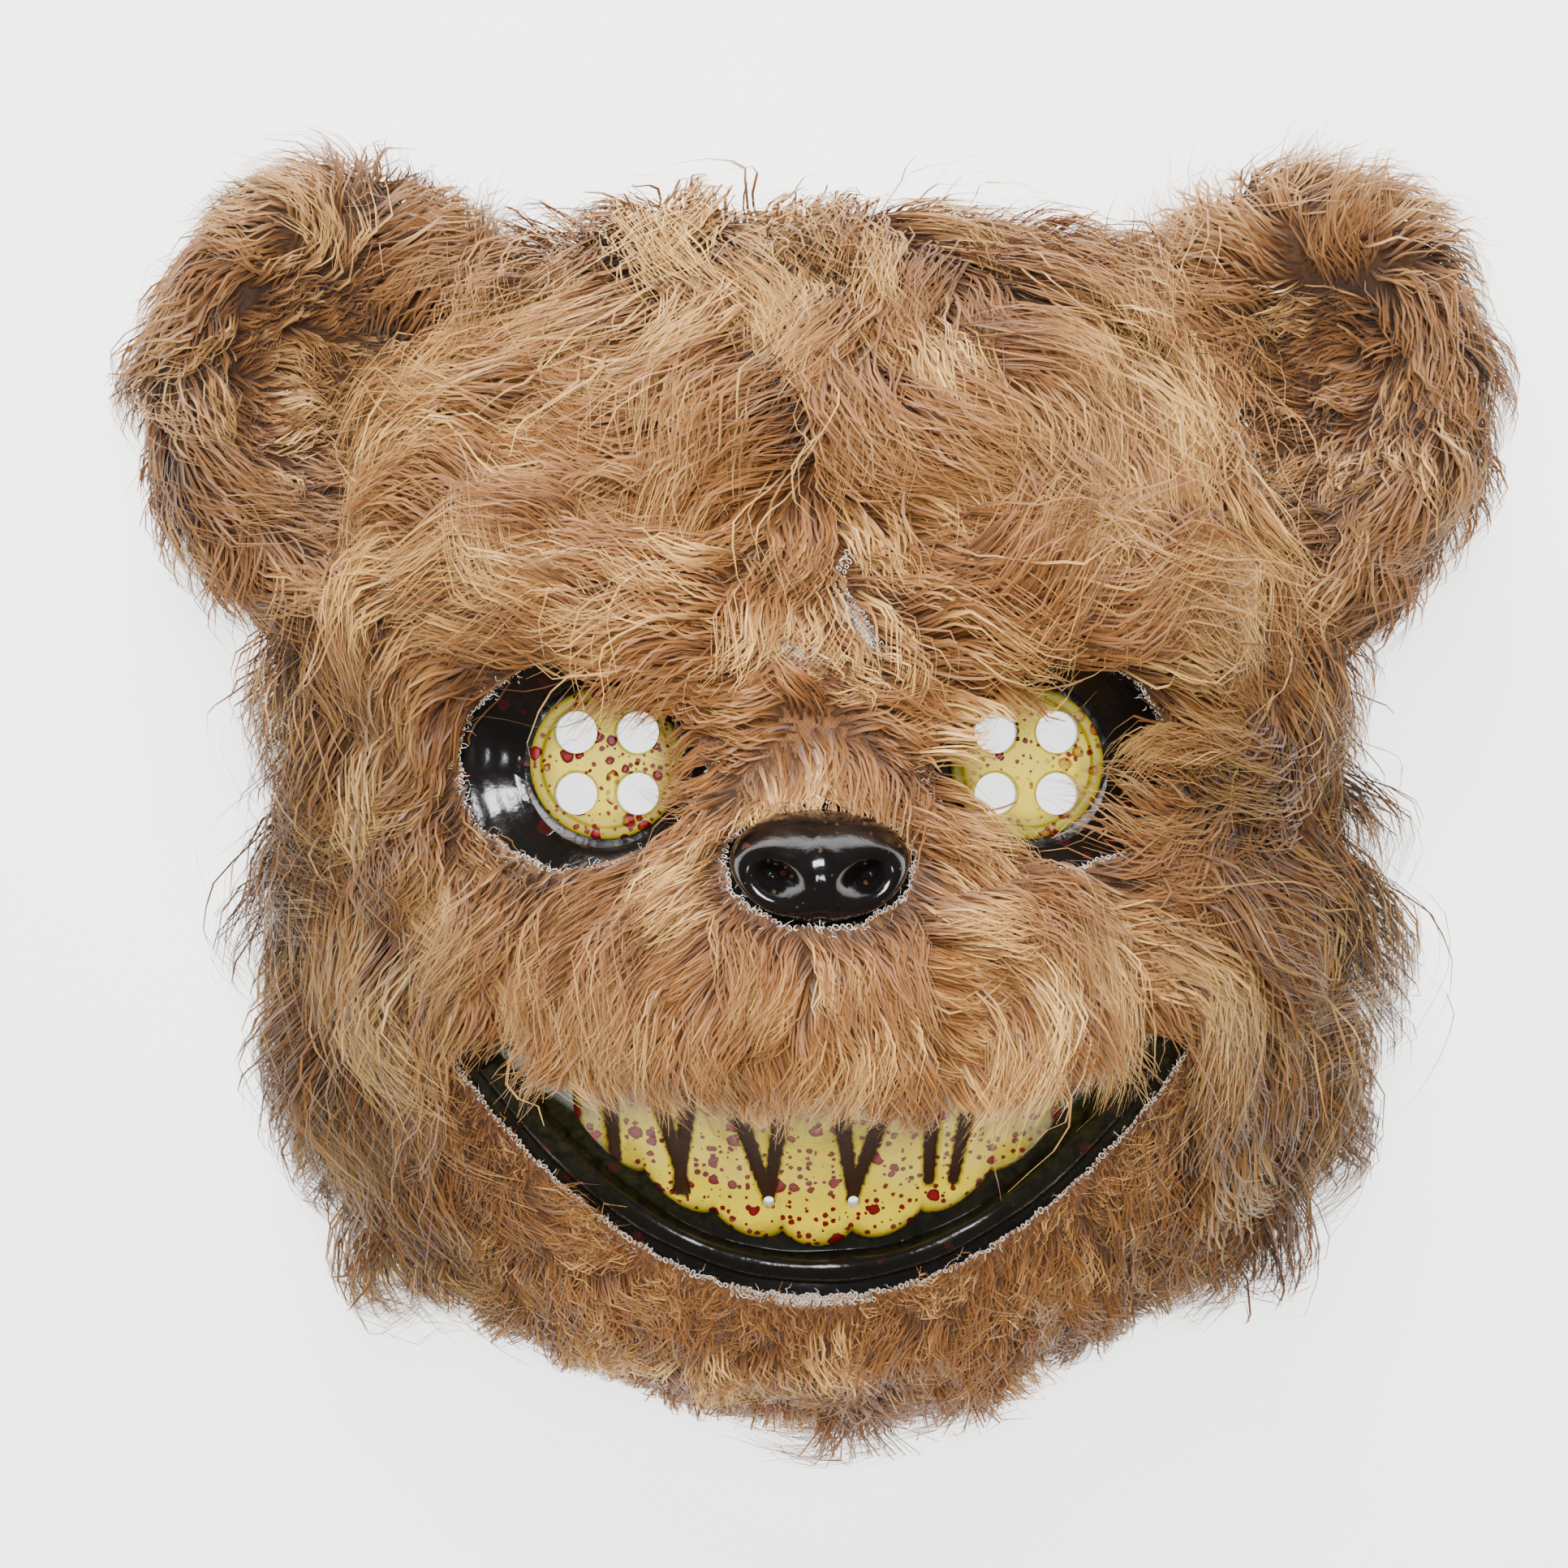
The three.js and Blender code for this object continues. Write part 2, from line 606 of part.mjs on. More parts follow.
function foreheadLocks() {
  return FOREHEAD_ROWS.flatMap((row, number) => Array.from({ length: row.count }, (_, i) => {
    const share = mix(-1, 1, i / (row.count - 1));
    const [point, normal] = faceOver(share * row.reach * HEAD_HALF_WIDTH, row.y * CROWN_HEIGHT);
    const heading = degrees(row.fan * share);
    const length = LOCK_LENGTH * row.size * (1 + 0.15 * Math.sin(5 * i + 2 * number));
    const along = new THREE.Vector3(Math.sin(heading), -Math.cos(heading), 0);
    along.addScaledVector(normal, -along.dot(normal)).normalize();
    return clearLock(point, normal, along, row, length);
  }).flat());
}

function furCover() {
  const outside = underFace(coverTop);
  const span = 4 * CROWN_HEIGHT;
  const slab = new THREE.BoxGeometry(span, span, span).translate(0, 0, HEM_RISE - span / 2);
  const openings = [eyeOpening(1), eyeOpening(-1), noseOpening(), mouthOpening()];
  const backing = outside.subtract(underSeat).subtract(joined(openings));
  return joined([backing, ...roundLocks(), ...foreheadLocks()]).subtract(underSeat).subtract(solid(slab));
}

// Ears: a padded cup. reach is the share of the way to the ear's edge, rise of its depth.
const EAR_PROFILE = [
  { reach: 0.2, rise: 0.42 },
  { reach: 0.4, rise: 0.56 },
  { reach: 0.56, rise: 0.9 },
  { reach: 0.76, rise: 1 },
  { reach: 0.94, rise: 0.8 },
  { reach: 1, rise: 0.5 },
  { reach: 0.8, rise: 0.12 },
  { reach: 0.4, rise: 0 },
];

function earPoint(side, angle, reach, rise) {
  const shift = EAR_CUP_OUTSET * (1 - reach);
  const inward = (1 - Math.cos(angle)) / 2;
  const x = EAR_SPREAD + shift + EAR_HALF_WIDTH * reach * Math.cos(angle);
  const y = EAR_LINE + EAR_HALF_HEIGHT * reach * Math.sin(angle);
  const z = EAR_FOOT + EAR_DEPTH * rise * (1 - EAR_INNER_SINK * inward);
  return new THREE.Vector3(side * x, y, z);
}

function ear(side) {
  const steps = 16;
  const rings = EAR_PROFILE.map((row) => Array.from({ length: steps }, (_, k) => (
    earPoint(side, (k / steps) * 2 * Math.PI, row.reach, row.rise)
  )));
  const front = earPoint(side, Math.PI / 2, 0, EAR_PROFILE[0].rise);
  const back = earPoint(side, Math.PI / 2, 0, 0);
  const body = solid(loft([[front], ...rings, [back]]));
  return joined([body, ...earLocks(side)]).subtract(underFace(coverTop + SEAT_GAP, BELOW));
}

// Two rows of locks round the free part of the ear's edge, leaning outwards.
const EAR_LOCK_ROWS = [
  { count: 7, rise: 0.86, lean: 0.9, size: 1 },
  { count: 7, rise: 0.4, lean: 0.2, size: 0.9 },
];

function earLocks(side) {
  const locks = [];
  for (const [row, { count, rise, lean, size }] of EAR_LOCK_ROWS.entries()) {
    for (let i = 0; i < count; i += 1) {
      const angle = degrees(mix(-62, 118, (i + (row % 2) / 2) / count));
      const root = earPoint(side, angle, 0.9, rise);
      const outward = new THREE.Vector3(side * Math.cos(angle), Math.sin(angle), 0);
      const swing = new THREE.Vector3(-side * Math.sin(angle), Math.cos(angle), 0);
      const along = outward.clone().addScaledVector(swing, -0.8).normalize();
      const out = up.clone().multiplyScalar(lean).addScaledVector(outward, 1 - lean);
      out.addScaledVector(along, -out.dot(along)).normalize();
      const length = EAR_LOCK_LENGTH * size * (1 + 0.12 * Math.sin(5 * i + row));
      locks.push(lock(root, along, out, length, LOCK_WIDTH * 0.8, LOCK_LIFT / 2));
    }
  }
  return locks;
}

// Strap: a flat band on edge from side wall to side wall, with a tab stuck to each.
function elasticStrap() {
  const half = STRAP_THICKNESS / 2;
  const reach = HEAD_HALF_WIDTH;
  const tab = STRAP_TAB / 2;
  const high = STRAP_RISE + STRAP_WIDTH;
  const band = prism([
    new THREE.Vector2(-reach, STRAP_LINE - half),
    new THREE.Vector2(reach, STRAP_LINE - half),
    new THREE.Vector2(reach, STRAP_LINE + half),
    new THREE.Vector2(-reach, STRAP_LINE + half),
  ], STRAP_RISE, high);
  const tabs = prism([
    new THREE.Vector2(-reach, STRAP_LINE - tab),
    new THREE.Vector2(reach, STRAP_LINE - tab),
    new THREE.Vector2(reach, STRAP_LINE + tab),
    new THREE.Vector2(-reach, STRAP_LINE + tab),
  ], STRAP_RISE, high).subtract(underFace(-SHELL_WALL - SEAT_GAP - STRAP_THICKNESS, BELOW));
  return band.add(tabs).intersect(underFace(-SHELL_WALL - SEAT_GAP, BELOW));
}

const blackPlastic = { color: 0x070606, roughness: 0.14, metalness: 0 };
const yellowPaint = { color: 0xd6c83a, roughness: 0.3, metalness: 0 };
const fur = { color: 0x9a6b42, roughness: 0.9, metalness: 0 };
const earFur = { color: 0x7a5536, roughness: 0.95, metalness: 0 };
const elastic = { color: 0x16161a, roughness: 0.9, metalness: 0 };

function piece(name, body, look) {
  const mesh = new THREE.Mesh(geometryOf(body), new THREE.MeshStandardMaterial(look));
  mesh.name = name;
  return mesh;
}

const mask = new THREE.Group();
mask.add(piece("face_shell", faceShell(), blackPlastic));
mask.add(piece("button_eye_left", buttonEye(-1), yellowPaint));
mask.add(piece("button_eye_right", buttonEye(1), yellowPaint));
mask.add(piece("nose", nose(), blackPlastic));
mask.add(piece("teeth", teeth(), yellowPaint));
mask.add(piece("fur_cover", furCover(), fur));
mask.add(piece("ear_left", ear(-1), earFur));
mask.add(piece("ear_right", ear(1), earFur));
mask.add(piece("elastic_strap", elasticStrap(), elastic));

// The origin is under the middle of the whole mask, on the surface that its rim lies on.
const bounds = new THREE.Box3().setFromObject(mask);
const centre = bounds.getCenter(new THREE.Vector3());
mask.position.set(-centre.x, -centre.y, 0);

export default mask;
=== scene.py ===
import math

import bpy
import numpy as np
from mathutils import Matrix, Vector


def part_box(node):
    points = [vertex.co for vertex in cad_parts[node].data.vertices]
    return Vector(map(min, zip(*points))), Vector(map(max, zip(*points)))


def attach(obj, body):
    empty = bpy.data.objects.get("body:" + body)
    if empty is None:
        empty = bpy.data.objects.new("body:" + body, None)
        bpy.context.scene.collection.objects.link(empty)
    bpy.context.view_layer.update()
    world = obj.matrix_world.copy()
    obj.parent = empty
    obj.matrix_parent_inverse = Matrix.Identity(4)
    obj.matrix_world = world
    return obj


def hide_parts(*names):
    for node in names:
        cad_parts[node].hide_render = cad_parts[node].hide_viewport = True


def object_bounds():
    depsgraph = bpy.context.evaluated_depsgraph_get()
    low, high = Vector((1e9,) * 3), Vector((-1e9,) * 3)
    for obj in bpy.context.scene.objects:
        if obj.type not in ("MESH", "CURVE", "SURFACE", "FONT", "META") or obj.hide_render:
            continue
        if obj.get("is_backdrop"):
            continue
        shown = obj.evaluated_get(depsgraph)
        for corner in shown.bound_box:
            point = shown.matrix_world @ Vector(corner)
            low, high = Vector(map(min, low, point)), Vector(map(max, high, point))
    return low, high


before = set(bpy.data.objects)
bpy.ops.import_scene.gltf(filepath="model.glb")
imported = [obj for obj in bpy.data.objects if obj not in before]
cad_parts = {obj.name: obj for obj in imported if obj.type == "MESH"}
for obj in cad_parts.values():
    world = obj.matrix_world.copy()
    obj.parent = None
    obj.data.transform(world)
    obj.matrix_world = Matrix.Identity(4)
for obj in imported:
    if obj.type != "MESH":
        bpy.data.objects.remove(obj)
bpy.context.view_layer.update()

# Face shell: one thin wall of glossy black plastic, pressed over a mould into brow, cheeks,
# muzzle and chin, with a sunk pocket for each eye, see-through holes and a rolled lower lip.
# All else is glued to it. Sizes are millimetres from the middle of the cheek line.
HEAD_HALF_WIDTH = 114
CROWN_HEIGHT = 158
CHIN_DROP = 108
SHELL_RISE = 60
SHELL_WALL = 2
CROWN_SQUARENESS = 3.2
CHIN_SQUARENESS = 2
DOME_SQUARENESS = 2.4
RIM_CALM = 6
RING_CROWDING = 1.2
MUZZLE_LINE = -8
MUZZLE_HALF_WIDTH = 50
MUZZLE_HALF_HEIGHT = 37
MUZZLE_RISE = 42
EYE_SPREAD = 45
EYE_LINE = 37.5
SOCKET_HALF_WIDTH = 27
SOCKET_HALF_HEIGHT = 20
SOCKET_OUTSET = 8
SOCKET_DENT = 12
POCKET_RADIUS = 17.8
POCKET_FLOOR = 46
BUTTON_HOLE_RADIUS = 4.5
BUTTON_HOLE_SPREAD = 6.6
MOUTH_HALF_WIDTH = 79
MOUTH_CORNER_LINE = -18
MOUTH_DROP = 55
MOUTH_ROOF_DROP = 12
MOUTH_CURVE = 2.3
MOUTH_DENT = 9
LIP_RADIUS = 3.4
PEG_TOP = 140

# x and across are shares of the half width, y and along of the crown height, rise of the
# shell's rise; a row with an x is repeated on the other side.
SWELLINGS = [
    {"name": "bridge", "x": 0, "y": 0.24, "across": 0.19, "along": 0.16, "tilt": 0, "rise": 0.16},
    {"name": "brow", "x": 0.42, "y": 0.44, "across": 0.4, "along": 0.12, "tilt": 14, "rise": 0.24},
    {"name": "forehead", "x": 0, "y": 0.72, "across": 0.62, "along": 0.26, "tilt": 0, "rise": 0.22},
    {"name": "cheek", "x": 0.72, "y": -0.08, "across": 0.28, "along": 0.24, "tilt": 0, "rise": 0.2},
    {"name": "chin", "x": 0, "y": -0.55, "across": 0.42, "along": 0.12, "tilt": 0, "rise": 0.2},
]

cheek_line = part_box("face_shell")[0].y + CHIN_DROP / 1000


def bump(dx, dy, across, along, tilt=0):
    """1 at its centre, falling to nothing past its half sizes."""
    turn = math.radians(tilt)
    a = (dx * math.cos(turn) + dy * math.sin(turn)) / across
    b = (dy * math.cos(turn) - dx * math.sin(turn)) / along
    return np.exp(-a * a - b * b)


def mouth_floor(x):
    share = np.minimum(np.abs(x) / MOUTH_HALF_WIDTH, 1)
    return MOUTH_CORNER_LINE - MOUTH_DROP * (1 - share**MOUTH_CURVE)


def mouth_roof(x):
    share = np.minimum(np.abs(x) / MOUTH_HALF_WIDTH, 1)
    return MOUTH_CORNER_LINE - MOUTH_ROOF_DROP * (1 - share * share)


def mouth_dent(x, y):
    middle = (mouth_floor(x) + mouth_roof(x)) / 2
    half = np.maximum((mouth_roof(x) - mouth_floor(x)) / 2, LIP_RADIUS)
    fade = np.maximum(1 - (x / MOUTH_HALF_WIDTH) ** 4, 0)
    return MOUTH_DENT * fade * np.exp(-(((y - middle) / half) ** 2))


def rim_share(x, y):
    """How far out a point lies: 0 at the middle of the cheek line, 1 on the rim."""
    above = y > 0
    power = np.where(above, CROWN_SQUARENESS, CHIN_SQUARENESS)
    reach = np.where(above, CROWN_HEIGHT, CHIN_DROP)
    return (np.abs(x / HEAD_HALF_WIDTH) ** power + np.abs(y / reach) ** power) ** (1 / power)


def face_height(x, y):
    share = np.minimum(rim_share(x, y), 1)
    dome = SHELL_RISE * (1 - share**DOME_SQUARENESS) ** (1 / DOME_SQUARENESS)
    swell = MUZZLE_RISE * bump(x, y - MUZZLE_LINE, MUZZLE_HALF_WIDTH, MUZZLE_HALF_HEIGHT)
    for row in SWELLINGS:
        for side in (1, -1) if row["x"] else (1,):
            dx = x * side - row["x"] * HEAD_HALF_WIDTH
            dy = y - row["y"] * CROWN_HEIGHT
            across = row["across"] * HEAD_HALF_WIDTH
            along = row["along"] * CROWN_HEIGHT
            swell = swell + row["rise"] * SHELL_RISE * bump(dx, dy, across, along, row["tilt"])
    for side in (1, -1):
        dx = x * side - EYE_SPREAD - SOCKET_OUTSET
        swell = swell - SOCKET_DENT * bump(dx, y - EYE_LINE, SOCKET_HALF_WIDTH, SOCKET_HALF_HEIGHT)
    return dome + (swell - mouth_dent(x, y)) * (1 - share**RIM_CALM)


def face_point(turn, out):
    """turn runs round the face, out from the middle (0) to the rim (1)."""
    angle = turn * 2 * np.pi
    above = np.sin(angle) > 0
    power = np.where(above, CROWN_SQUARENESS, CHIN_SQUARENESS)
    reach = np.where(above, CROWN_HEIGHT, CHIN_DROP)
    share = np.sin(out * np.pi / 2) ** (2 / DOME_SQUARENESS)
    x = HEAD_HALF_WIDTH * np.sign(np.cos(angle)) * np.abs(np.cos(angle)) ** (2 / power) * share
    y = reach * np.sign(np.sin(angle)) * np.abs(np.sin(angle)) ** (2 / power) * share
    z = np.where(out >= 1, 0, face_height(x, y))
    return np.stack([x, y, z], -1)


def unit(vectors):
    return vectors / np.maximum(np.linalg.norm(vectors, axis=-1, keepdims=True), 1e-9)


def face_normal(turn, out):
    step = 0.004
    near = np.maximum(out, 0.02)
    far = np.minimum(near + step, 1)
    around = face_point(turn + step, near) - face_point(turn - step, near)
    outward = face_point(turn, far) - face_point(turn, far - 2 * step)
    outward = np.where((out >= 1)[..., None], np.array([0, 0, -1.0]), outward)
    normal = unit(np.cross(outward, around))
    return np.where((out <= 0)[..., None], np.array([0, 0, 1.0]), normal)


def face_grid(spokes, rings):
    """Places on the face, the middle one first and then ring by ring."""
    out = (np.arange(1, rings + 1) / rings) ** RING_CROWDING
    turn, out = np.meshgrid(np.arange(spokes) / spokes, out)
    return np.concatenate([[0], turn.ravel()]), np.concatenate([[0], out.ravel()])


def face_sheet(grow, spokes, rings):
    """Points of the face grown outwards."""
    turn, out = face_grid(spokes, rings)
    return face_point(turn, out) + grow * face_normal(turn, out)


def sheet_faces(spokes, rings, first=0, flip=False):
    faces = []
    for s in range(spokes):
        n = (s + 1) % spokes
        faces.append((first, first + 1 + s, first + 1 + n))
        for r in range(rings - 1):
            a = first + 1 + r * spokes
            b = a + spokes
            faces.append((a + s, b + s, b + n, a + n))
    return [face[::-1] for face in faces] if flip else faces


def metres(points):
    """Millimetres about the cheek line to metres in the frame."""
    points = np.asarray(points, float) / 1000
    return points + np.array([0, cheek_line, 0])


def made(name, points, faces, edges=()):
    mesh = bpy.data.meshes.new(name)
    mesh.from_pydata(metres(points).tolist(), list(edges), [tuple(map(int, f)) for f in faces])
    mesh.update()
    piece = bpy.data.objects.new(name, mesh)
    bpy.context.scene.collection.objects.link(piece)
    return piece


def settle(piece):
    """Puts what the modifiers make into the piece's own plain mesh."""
    graph = bpy.context.evaluated_depsgraph_get()
    mesh = bpy.data.meshes.new_from_object(piece.evaluated_get(graph))
    piece.modifiers.clear()
    piece.data = mesh


def carve(piece, *cutters, way="DIFFERENCE"):
    for cutter in cutters:
        cut = piece.modifiers.new(cutter.name, "BOOLEAN")
        cut.operation = way
        cut.solver = "MANIFOLD"
        cut.object = cutter
    settle(piece)
    for cutter in cutters:
        bpy.data.objects.remove(cutter)


def face_block(name, grow, spokes=144, rings=50, low=-10):
    """All that lies under the face, closed by a flat floor."""
    top = face_sheet(grow, spokes, rings)
    rim = top[-spokes:]
    foot = np.column_stack([rim[:, :2], np.full(spokes, low)])
    points = np.vstack([top, foot, [[0, 0, low]]])
    faces = sheet_faces(spokes, rings)
    a = len(top) - spokes
    b = len(top)
    for s in range(spokes):
        n = (s + 1) % spokes
        faces.append((a + s, b + s, b + n, a + n))
        faces.append((b + spokes, b + n, b + s))
    return made(name, points, faces)


def face_wall(name, outer, inner, spokes=144, rings=50, hem=0):
    """A wall between two grown faces, with its edge at the height of the hem."""
    top = face_sheet(outer, spokes, rings)
    under = face_sheet(inner, spokes, rings)
    top[-spokes:, 2] = hem
    under[-spokes:, 2] = hem
    faces = sheet_faces(spokes, rings) + sheet_faces(spokes, rings, len(top), flip=True)
    a = len(top) - spokes
    b = 2 * len(top) - spokes
    for s in range(spokes):
        n = (s + 1) % spokes
        faces.append((a + s, b + s, b + n, a + n))
    return made(name, np.vstack([top, under]), faces)


def turned_faces(rings, sides):
    """Faces over rings of points between two end points, foot first."""
    faces = []
    for s in range(sides):
        n = (s + 1) % sides
        faces.append((0, 1 + n, 1 + s))
        for r in range(rings - 1):
            a = 1 + r * sides
            faces.append((a + s, a + n, a + sides + n, a + sides + s))
        a = 1 + (rings - 1) * sides
        faces.append((a + s, a + n, 1 + rings * sides))
    return faces


def lathe(name, profile, x, y, sides):
    """A turned solid about a line along Z. profile runs from the axis to the axis, foot first."""
    ring = np.arange(sides) / sides * 2 * np.pi
    points = [[x, y, profile[0][1]]]
    for radius, z in profile[1:-1]:
        across, along = x + radius * np.cos(ring), y + radius * np.sin(ring)
        points += np.column_stack([across, along, np.full(sides, z)]).tolist()
    points.append([x, y, profile[-1][1]])
    return made(name, points, turned_faces(len(profile) - 2, sides))


def peg(x, y, radius, low, high=PEG_TOP, sides=64):
    return lathe("peg", [(0, low), (radius, low), (radius, high), (0, high)], x, y, sides)


def hole_spots(side):
    for sx, sy in ((1, 1), (1, -1), (-1, 1), (-1, -1)):
        yield side * EYE_SPREAD + sx * BUTTON_HOLE_SPREAD, EYE_LINE + sy * BUTTON_HOLE_SPREAD


def swept(name, path, radii, sides):
    """A closed round bar along a path of points, radii one for each point."""
    along = unit(np.gradient(path, axis=0))
    across = unit(np.cross(np.array([0, 0, 1.0]), along))
    out = np.cross(along, across)
    ring = np.arange(sides) / sides * 2 * np.pi
    swing_x = radii[:, None, None] * np.cos(ring)[None, :, None]
    swing_y = radii[:, None, None] * np.sin(ring)[None, :, None]
    points = path[:, None] + across[:, None] * swing_x + out[:, None] * swing_y
    points = points.reshape(-1, 3)
    faces = []
    for i in range(len(path) - 1):
        for k in range(sides):
            j = (k + 1) % sides
            a, b = i * sides, (i + 1) * sides
            faces.append((a + k, a + j, b + j, b + k))
    last = len(points)
    points = np.vstack([points, path[0], path[-1]])
    for k in range(sides):
        j = (k + 1) % sides
        faces.append((last, j, k))
        faces.append((last + 1, last - sides + k, last - sides + j))
    return made(name, points, [f[::-1] for f in faces])


class Wire:
    """One output of a node of a shader or geometry tree, worked on with plain arithmetic."""

    def __init__(self, tree, end=None):
        self.tree = tree
        self.end = end

    def node(self, kind, settings=None, sockets=None, out=0):
        made_node = self.tree.nodes.new(kind)
        for name, value in (settings or {}).items():
            setattr(made_node, name, value)
        for name, value in (sockets or {}).items():
            if isinstance(value, Wire):
                self.tree.links.new(value.end, made_node.inputs[name])
            else:
                made_node.inputs[name].default_value = value
        return Wire(self.tree, made_node.outputs[out] if made_node.outputs else None)

    def other(self, name):
        """Another output of the same node."""
        return Wire(self.tree, self.end.node.outputs[name])

    def maths(self, operation, *values):
        return self.node("ShaderNodeMath", {"operation": operation}, dict(enumerate(values)))

    def __add__(self, other):
        return self.maths("ADD", self, other)

    def __radd__(self, other):
        return self.maths("ADD", other, self)

    def __sub__(self, other):
        return self.maths("SUBTRACT", self, other)

    def __rsub__(self, other):
        return self.maths("SUBTRACT", other, self)

    def __mul__(self, other):
        return self.maths("MULTIPLY", self, other)

    def __rmul__(self, other):
        return self.maths("MULTIPLY", other, self)

    def __truediv__(self, other):
        return self.maths("DIVIDE", self, other)

    def __rtruediv__(self, other):
        return self.maths("DIVIDE", other, self)

    def __pow__(self, other):
        return self.maths("POWER", self, other)

    def clamped(self):
        return self.node("ShaderNodeClamp", {}, {"Value": self})

    def vector(self, operation, other=None, scale=None):
        sockets = {0: self}
        if other is not None:
            sockets[1] = other
        if scale is not None:
            sockets["Scale"] = scale
        return self.node("ShaderNodeVectorMath", {"operation": operation}, sockets)

    def plus(self, other, share=1.0):
        """This vector with a share of another added."""
        return self.vector("ADD", other.vector("SCALE", scale=share))

    def axes(self):
        """The X of a vector, whose other outputs are its Y and Z."""
        return self.node("ShaderNodeSeparateXYZ", {}, {"Vector": self})

    def relief(self, strength, distance):
        """A normal bent by this height."""
        sockets = {"Strength": strength, "Distance": distance, "Height": self}
        return self.node("ShaderNodeBump", {}, sockets)

    def blend(self, under, over):
        """A colour: under where this value is 0, over where it is 1."""
        return self.node("ShaderNodeMix", {"data_type": "RGBA"}, {0: self, 6: under, 7: over}, out=2)


def srgb(red, green, blue):
    def line(c):
        return c / 12.92 if c <= 0.04045 else ((c + 0.055) / 1.055) ** 2.4

    return (line(red), line(green), line(blue), 1.0)


def finish(name):
    """A new material with an empty tree."""
    material = bpy.data.materials.new(name)
    material.use_nodes = True
    material.node_tree.nodes.clear()
    return material, Wire(material.node_tree)


def seal(wire, sockets):
    shader = wire.node("ShaderNodeBsdfPrincipled", {}, sockets)
    wire.node("ShaderNodeOutputMaterial", {}, {"Surface": shader})


def place_of(wire):
    """Where on the object a point lies, in metres."""
    return wire.node("ShaderNodeTexCoord", {}, {}, out="Object")


def noted(wire, name):
    """What a piece's points keep under a name."""
    return wire.node("ShaderNodeAttribute", {"attribute_name": name}, {}, out="Fac")


def noise(wire, place, scale, detail=2.0, roughness=0.5, out=0):
    sockets = {"Vector": place, "Scale": scale, "Detail": detail, "Roughness": roughness}
    return wire.node("ShaderNodeTexNoise", {}, sockets, out=out)


def spatter(wire, place, scale, share, size):
    """Flung drops of many sizes: the whole drop, and its thicker edge."""
    sway = noise(wire, place, scale * 2.4, 2.0, out=1)
    sway = sway.vector("SUBTRACT", (0.5, 0.5, 0.5)).vector("SCALE", scale=0.3 / scale)
    flung = {"Vector": place.vector("ADD", sway), "Scale": scale}
    cell = wire.node("ShaderNodeTexVoronoi", {"voronoi_dimensions": "2D"}, flung)
    chance = wire.node("ShaderNodeSeparateColor", {}, {"Color": cell.other("Color")})
    reach = ((chance - (1 - share)) / share).clamped() ** 1.15 * size
    drop = ((reach - cell.other("Distance")) * 30).clamped()
    inner = ((reach * 0.72 - cell.other("Distance")) * 16).clamped()
    return drop, drop - inner


def dress(piece, material, slot, *nodes, crease=None):
    piece.data.materials.clear()
    piece.data.materials.append(material)
    if crease:
        piece.data.shade_smooth()
        piece.data.set_sharp_from_angle(angle=math.radians(crease))
    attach(piece, "root")
    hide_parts(*nodes)


def note(piece, name, values):
    """Keeps a number or a vector for each point of the piece, for its material or its fur."""
    kind = "FLOAT_VECTOR" if np.ndim(values) == 2 else "FLOAT"
    attribute = piece.data.attributes.new(name, kind, "POINT")
    field = "vector" if kind == "FLOAT_VECTOR" else "value"
    attribute.data.foreach_set(field, np.ravel(np.asarray(values, np.float32)))


def millimetres(piece):
    """The piece's points in millimetres about the cheek line."""
    co = np.zeros(len(piece.data.vertices) * 3, np.float32)
    piece.data.vertices.foreach_get("co", co)
    return (co.reshape(-1, 3) - np.array([0, cheek_line, 0])) * 1000


face_shell = face_wall("face_shell_wall", 0, -SHELL_WALL)
for side in (1, -1):
    well = peg(side * EYE_SPREAD, EYE_LINE, POCKET_RADIUS + SHELL_WALL, POCKET_FLOOR - SHELL_WALL)
    carve(well, face_block("outside", 0), way="INTERSECT")
    carve(face_shell, well, way="UNION")

lip_share = np.linspace(-1, 1, 90) * (1 - 2 * LIP_RADIUS / MOUTH_HALF_WIDTH)
lip_x = lip_share * (MOUTH_HALF_WIDTH - LIP_RADIUS)
lip_y = mouth_floor(lip_share * MOUTH_HALF_WIDTH) + LIP_RADIUS
lip_path = np.column_stack([lip_x, lip_y, face_height(lip_x, lip_y)])
lip_swell = LIP_RADIUS * (0.97 + 0.05 * np.sin(lip_share * 9 + 1) + 0.03 * np.sin(lip_share * 23))
lip = swept("lip", lip_path, lip_swell, sides=20)
carve(lip, face_block("inside", -SHELL_WALL))
carve(face_shell, lip, way="UNION")
for side in (1, -1):
    carve(face_shell, peg(side * EYE_SPREAD, EYE_LINE, POCKET_RADIUS, POCKET_FLOOR))
    low, high = POCKET_FLOOR - 2 * SHELL_WALL, POCKET_FLOOR + 1
    carve(face_shell, *[peg(x, y, BUTTON_HOLE_RADIUS, low, high) for x, y in hole_spots(side)])


def eye_distance(axes):
    """Metres from the middle of the nearer eye."""
    x = axes.maths("ABSOLUTE", axes) - EYE_SPREAD / 1000
    y = axes.other("Y") - (cheek_line + EYE_LINE / 1000)
    return (x * x + y * y) ** 0.5


shell_x, shell_y, shell_z = millimetres(face_shell).T
gum_line = (mouth_floor(shell_x) + 2 * mouth_roof(shell_x)) / 3
note(face_shell, "overspray", bump(shell_x, shell_y - gum_line, 62, 13) * (shell_z > 20))

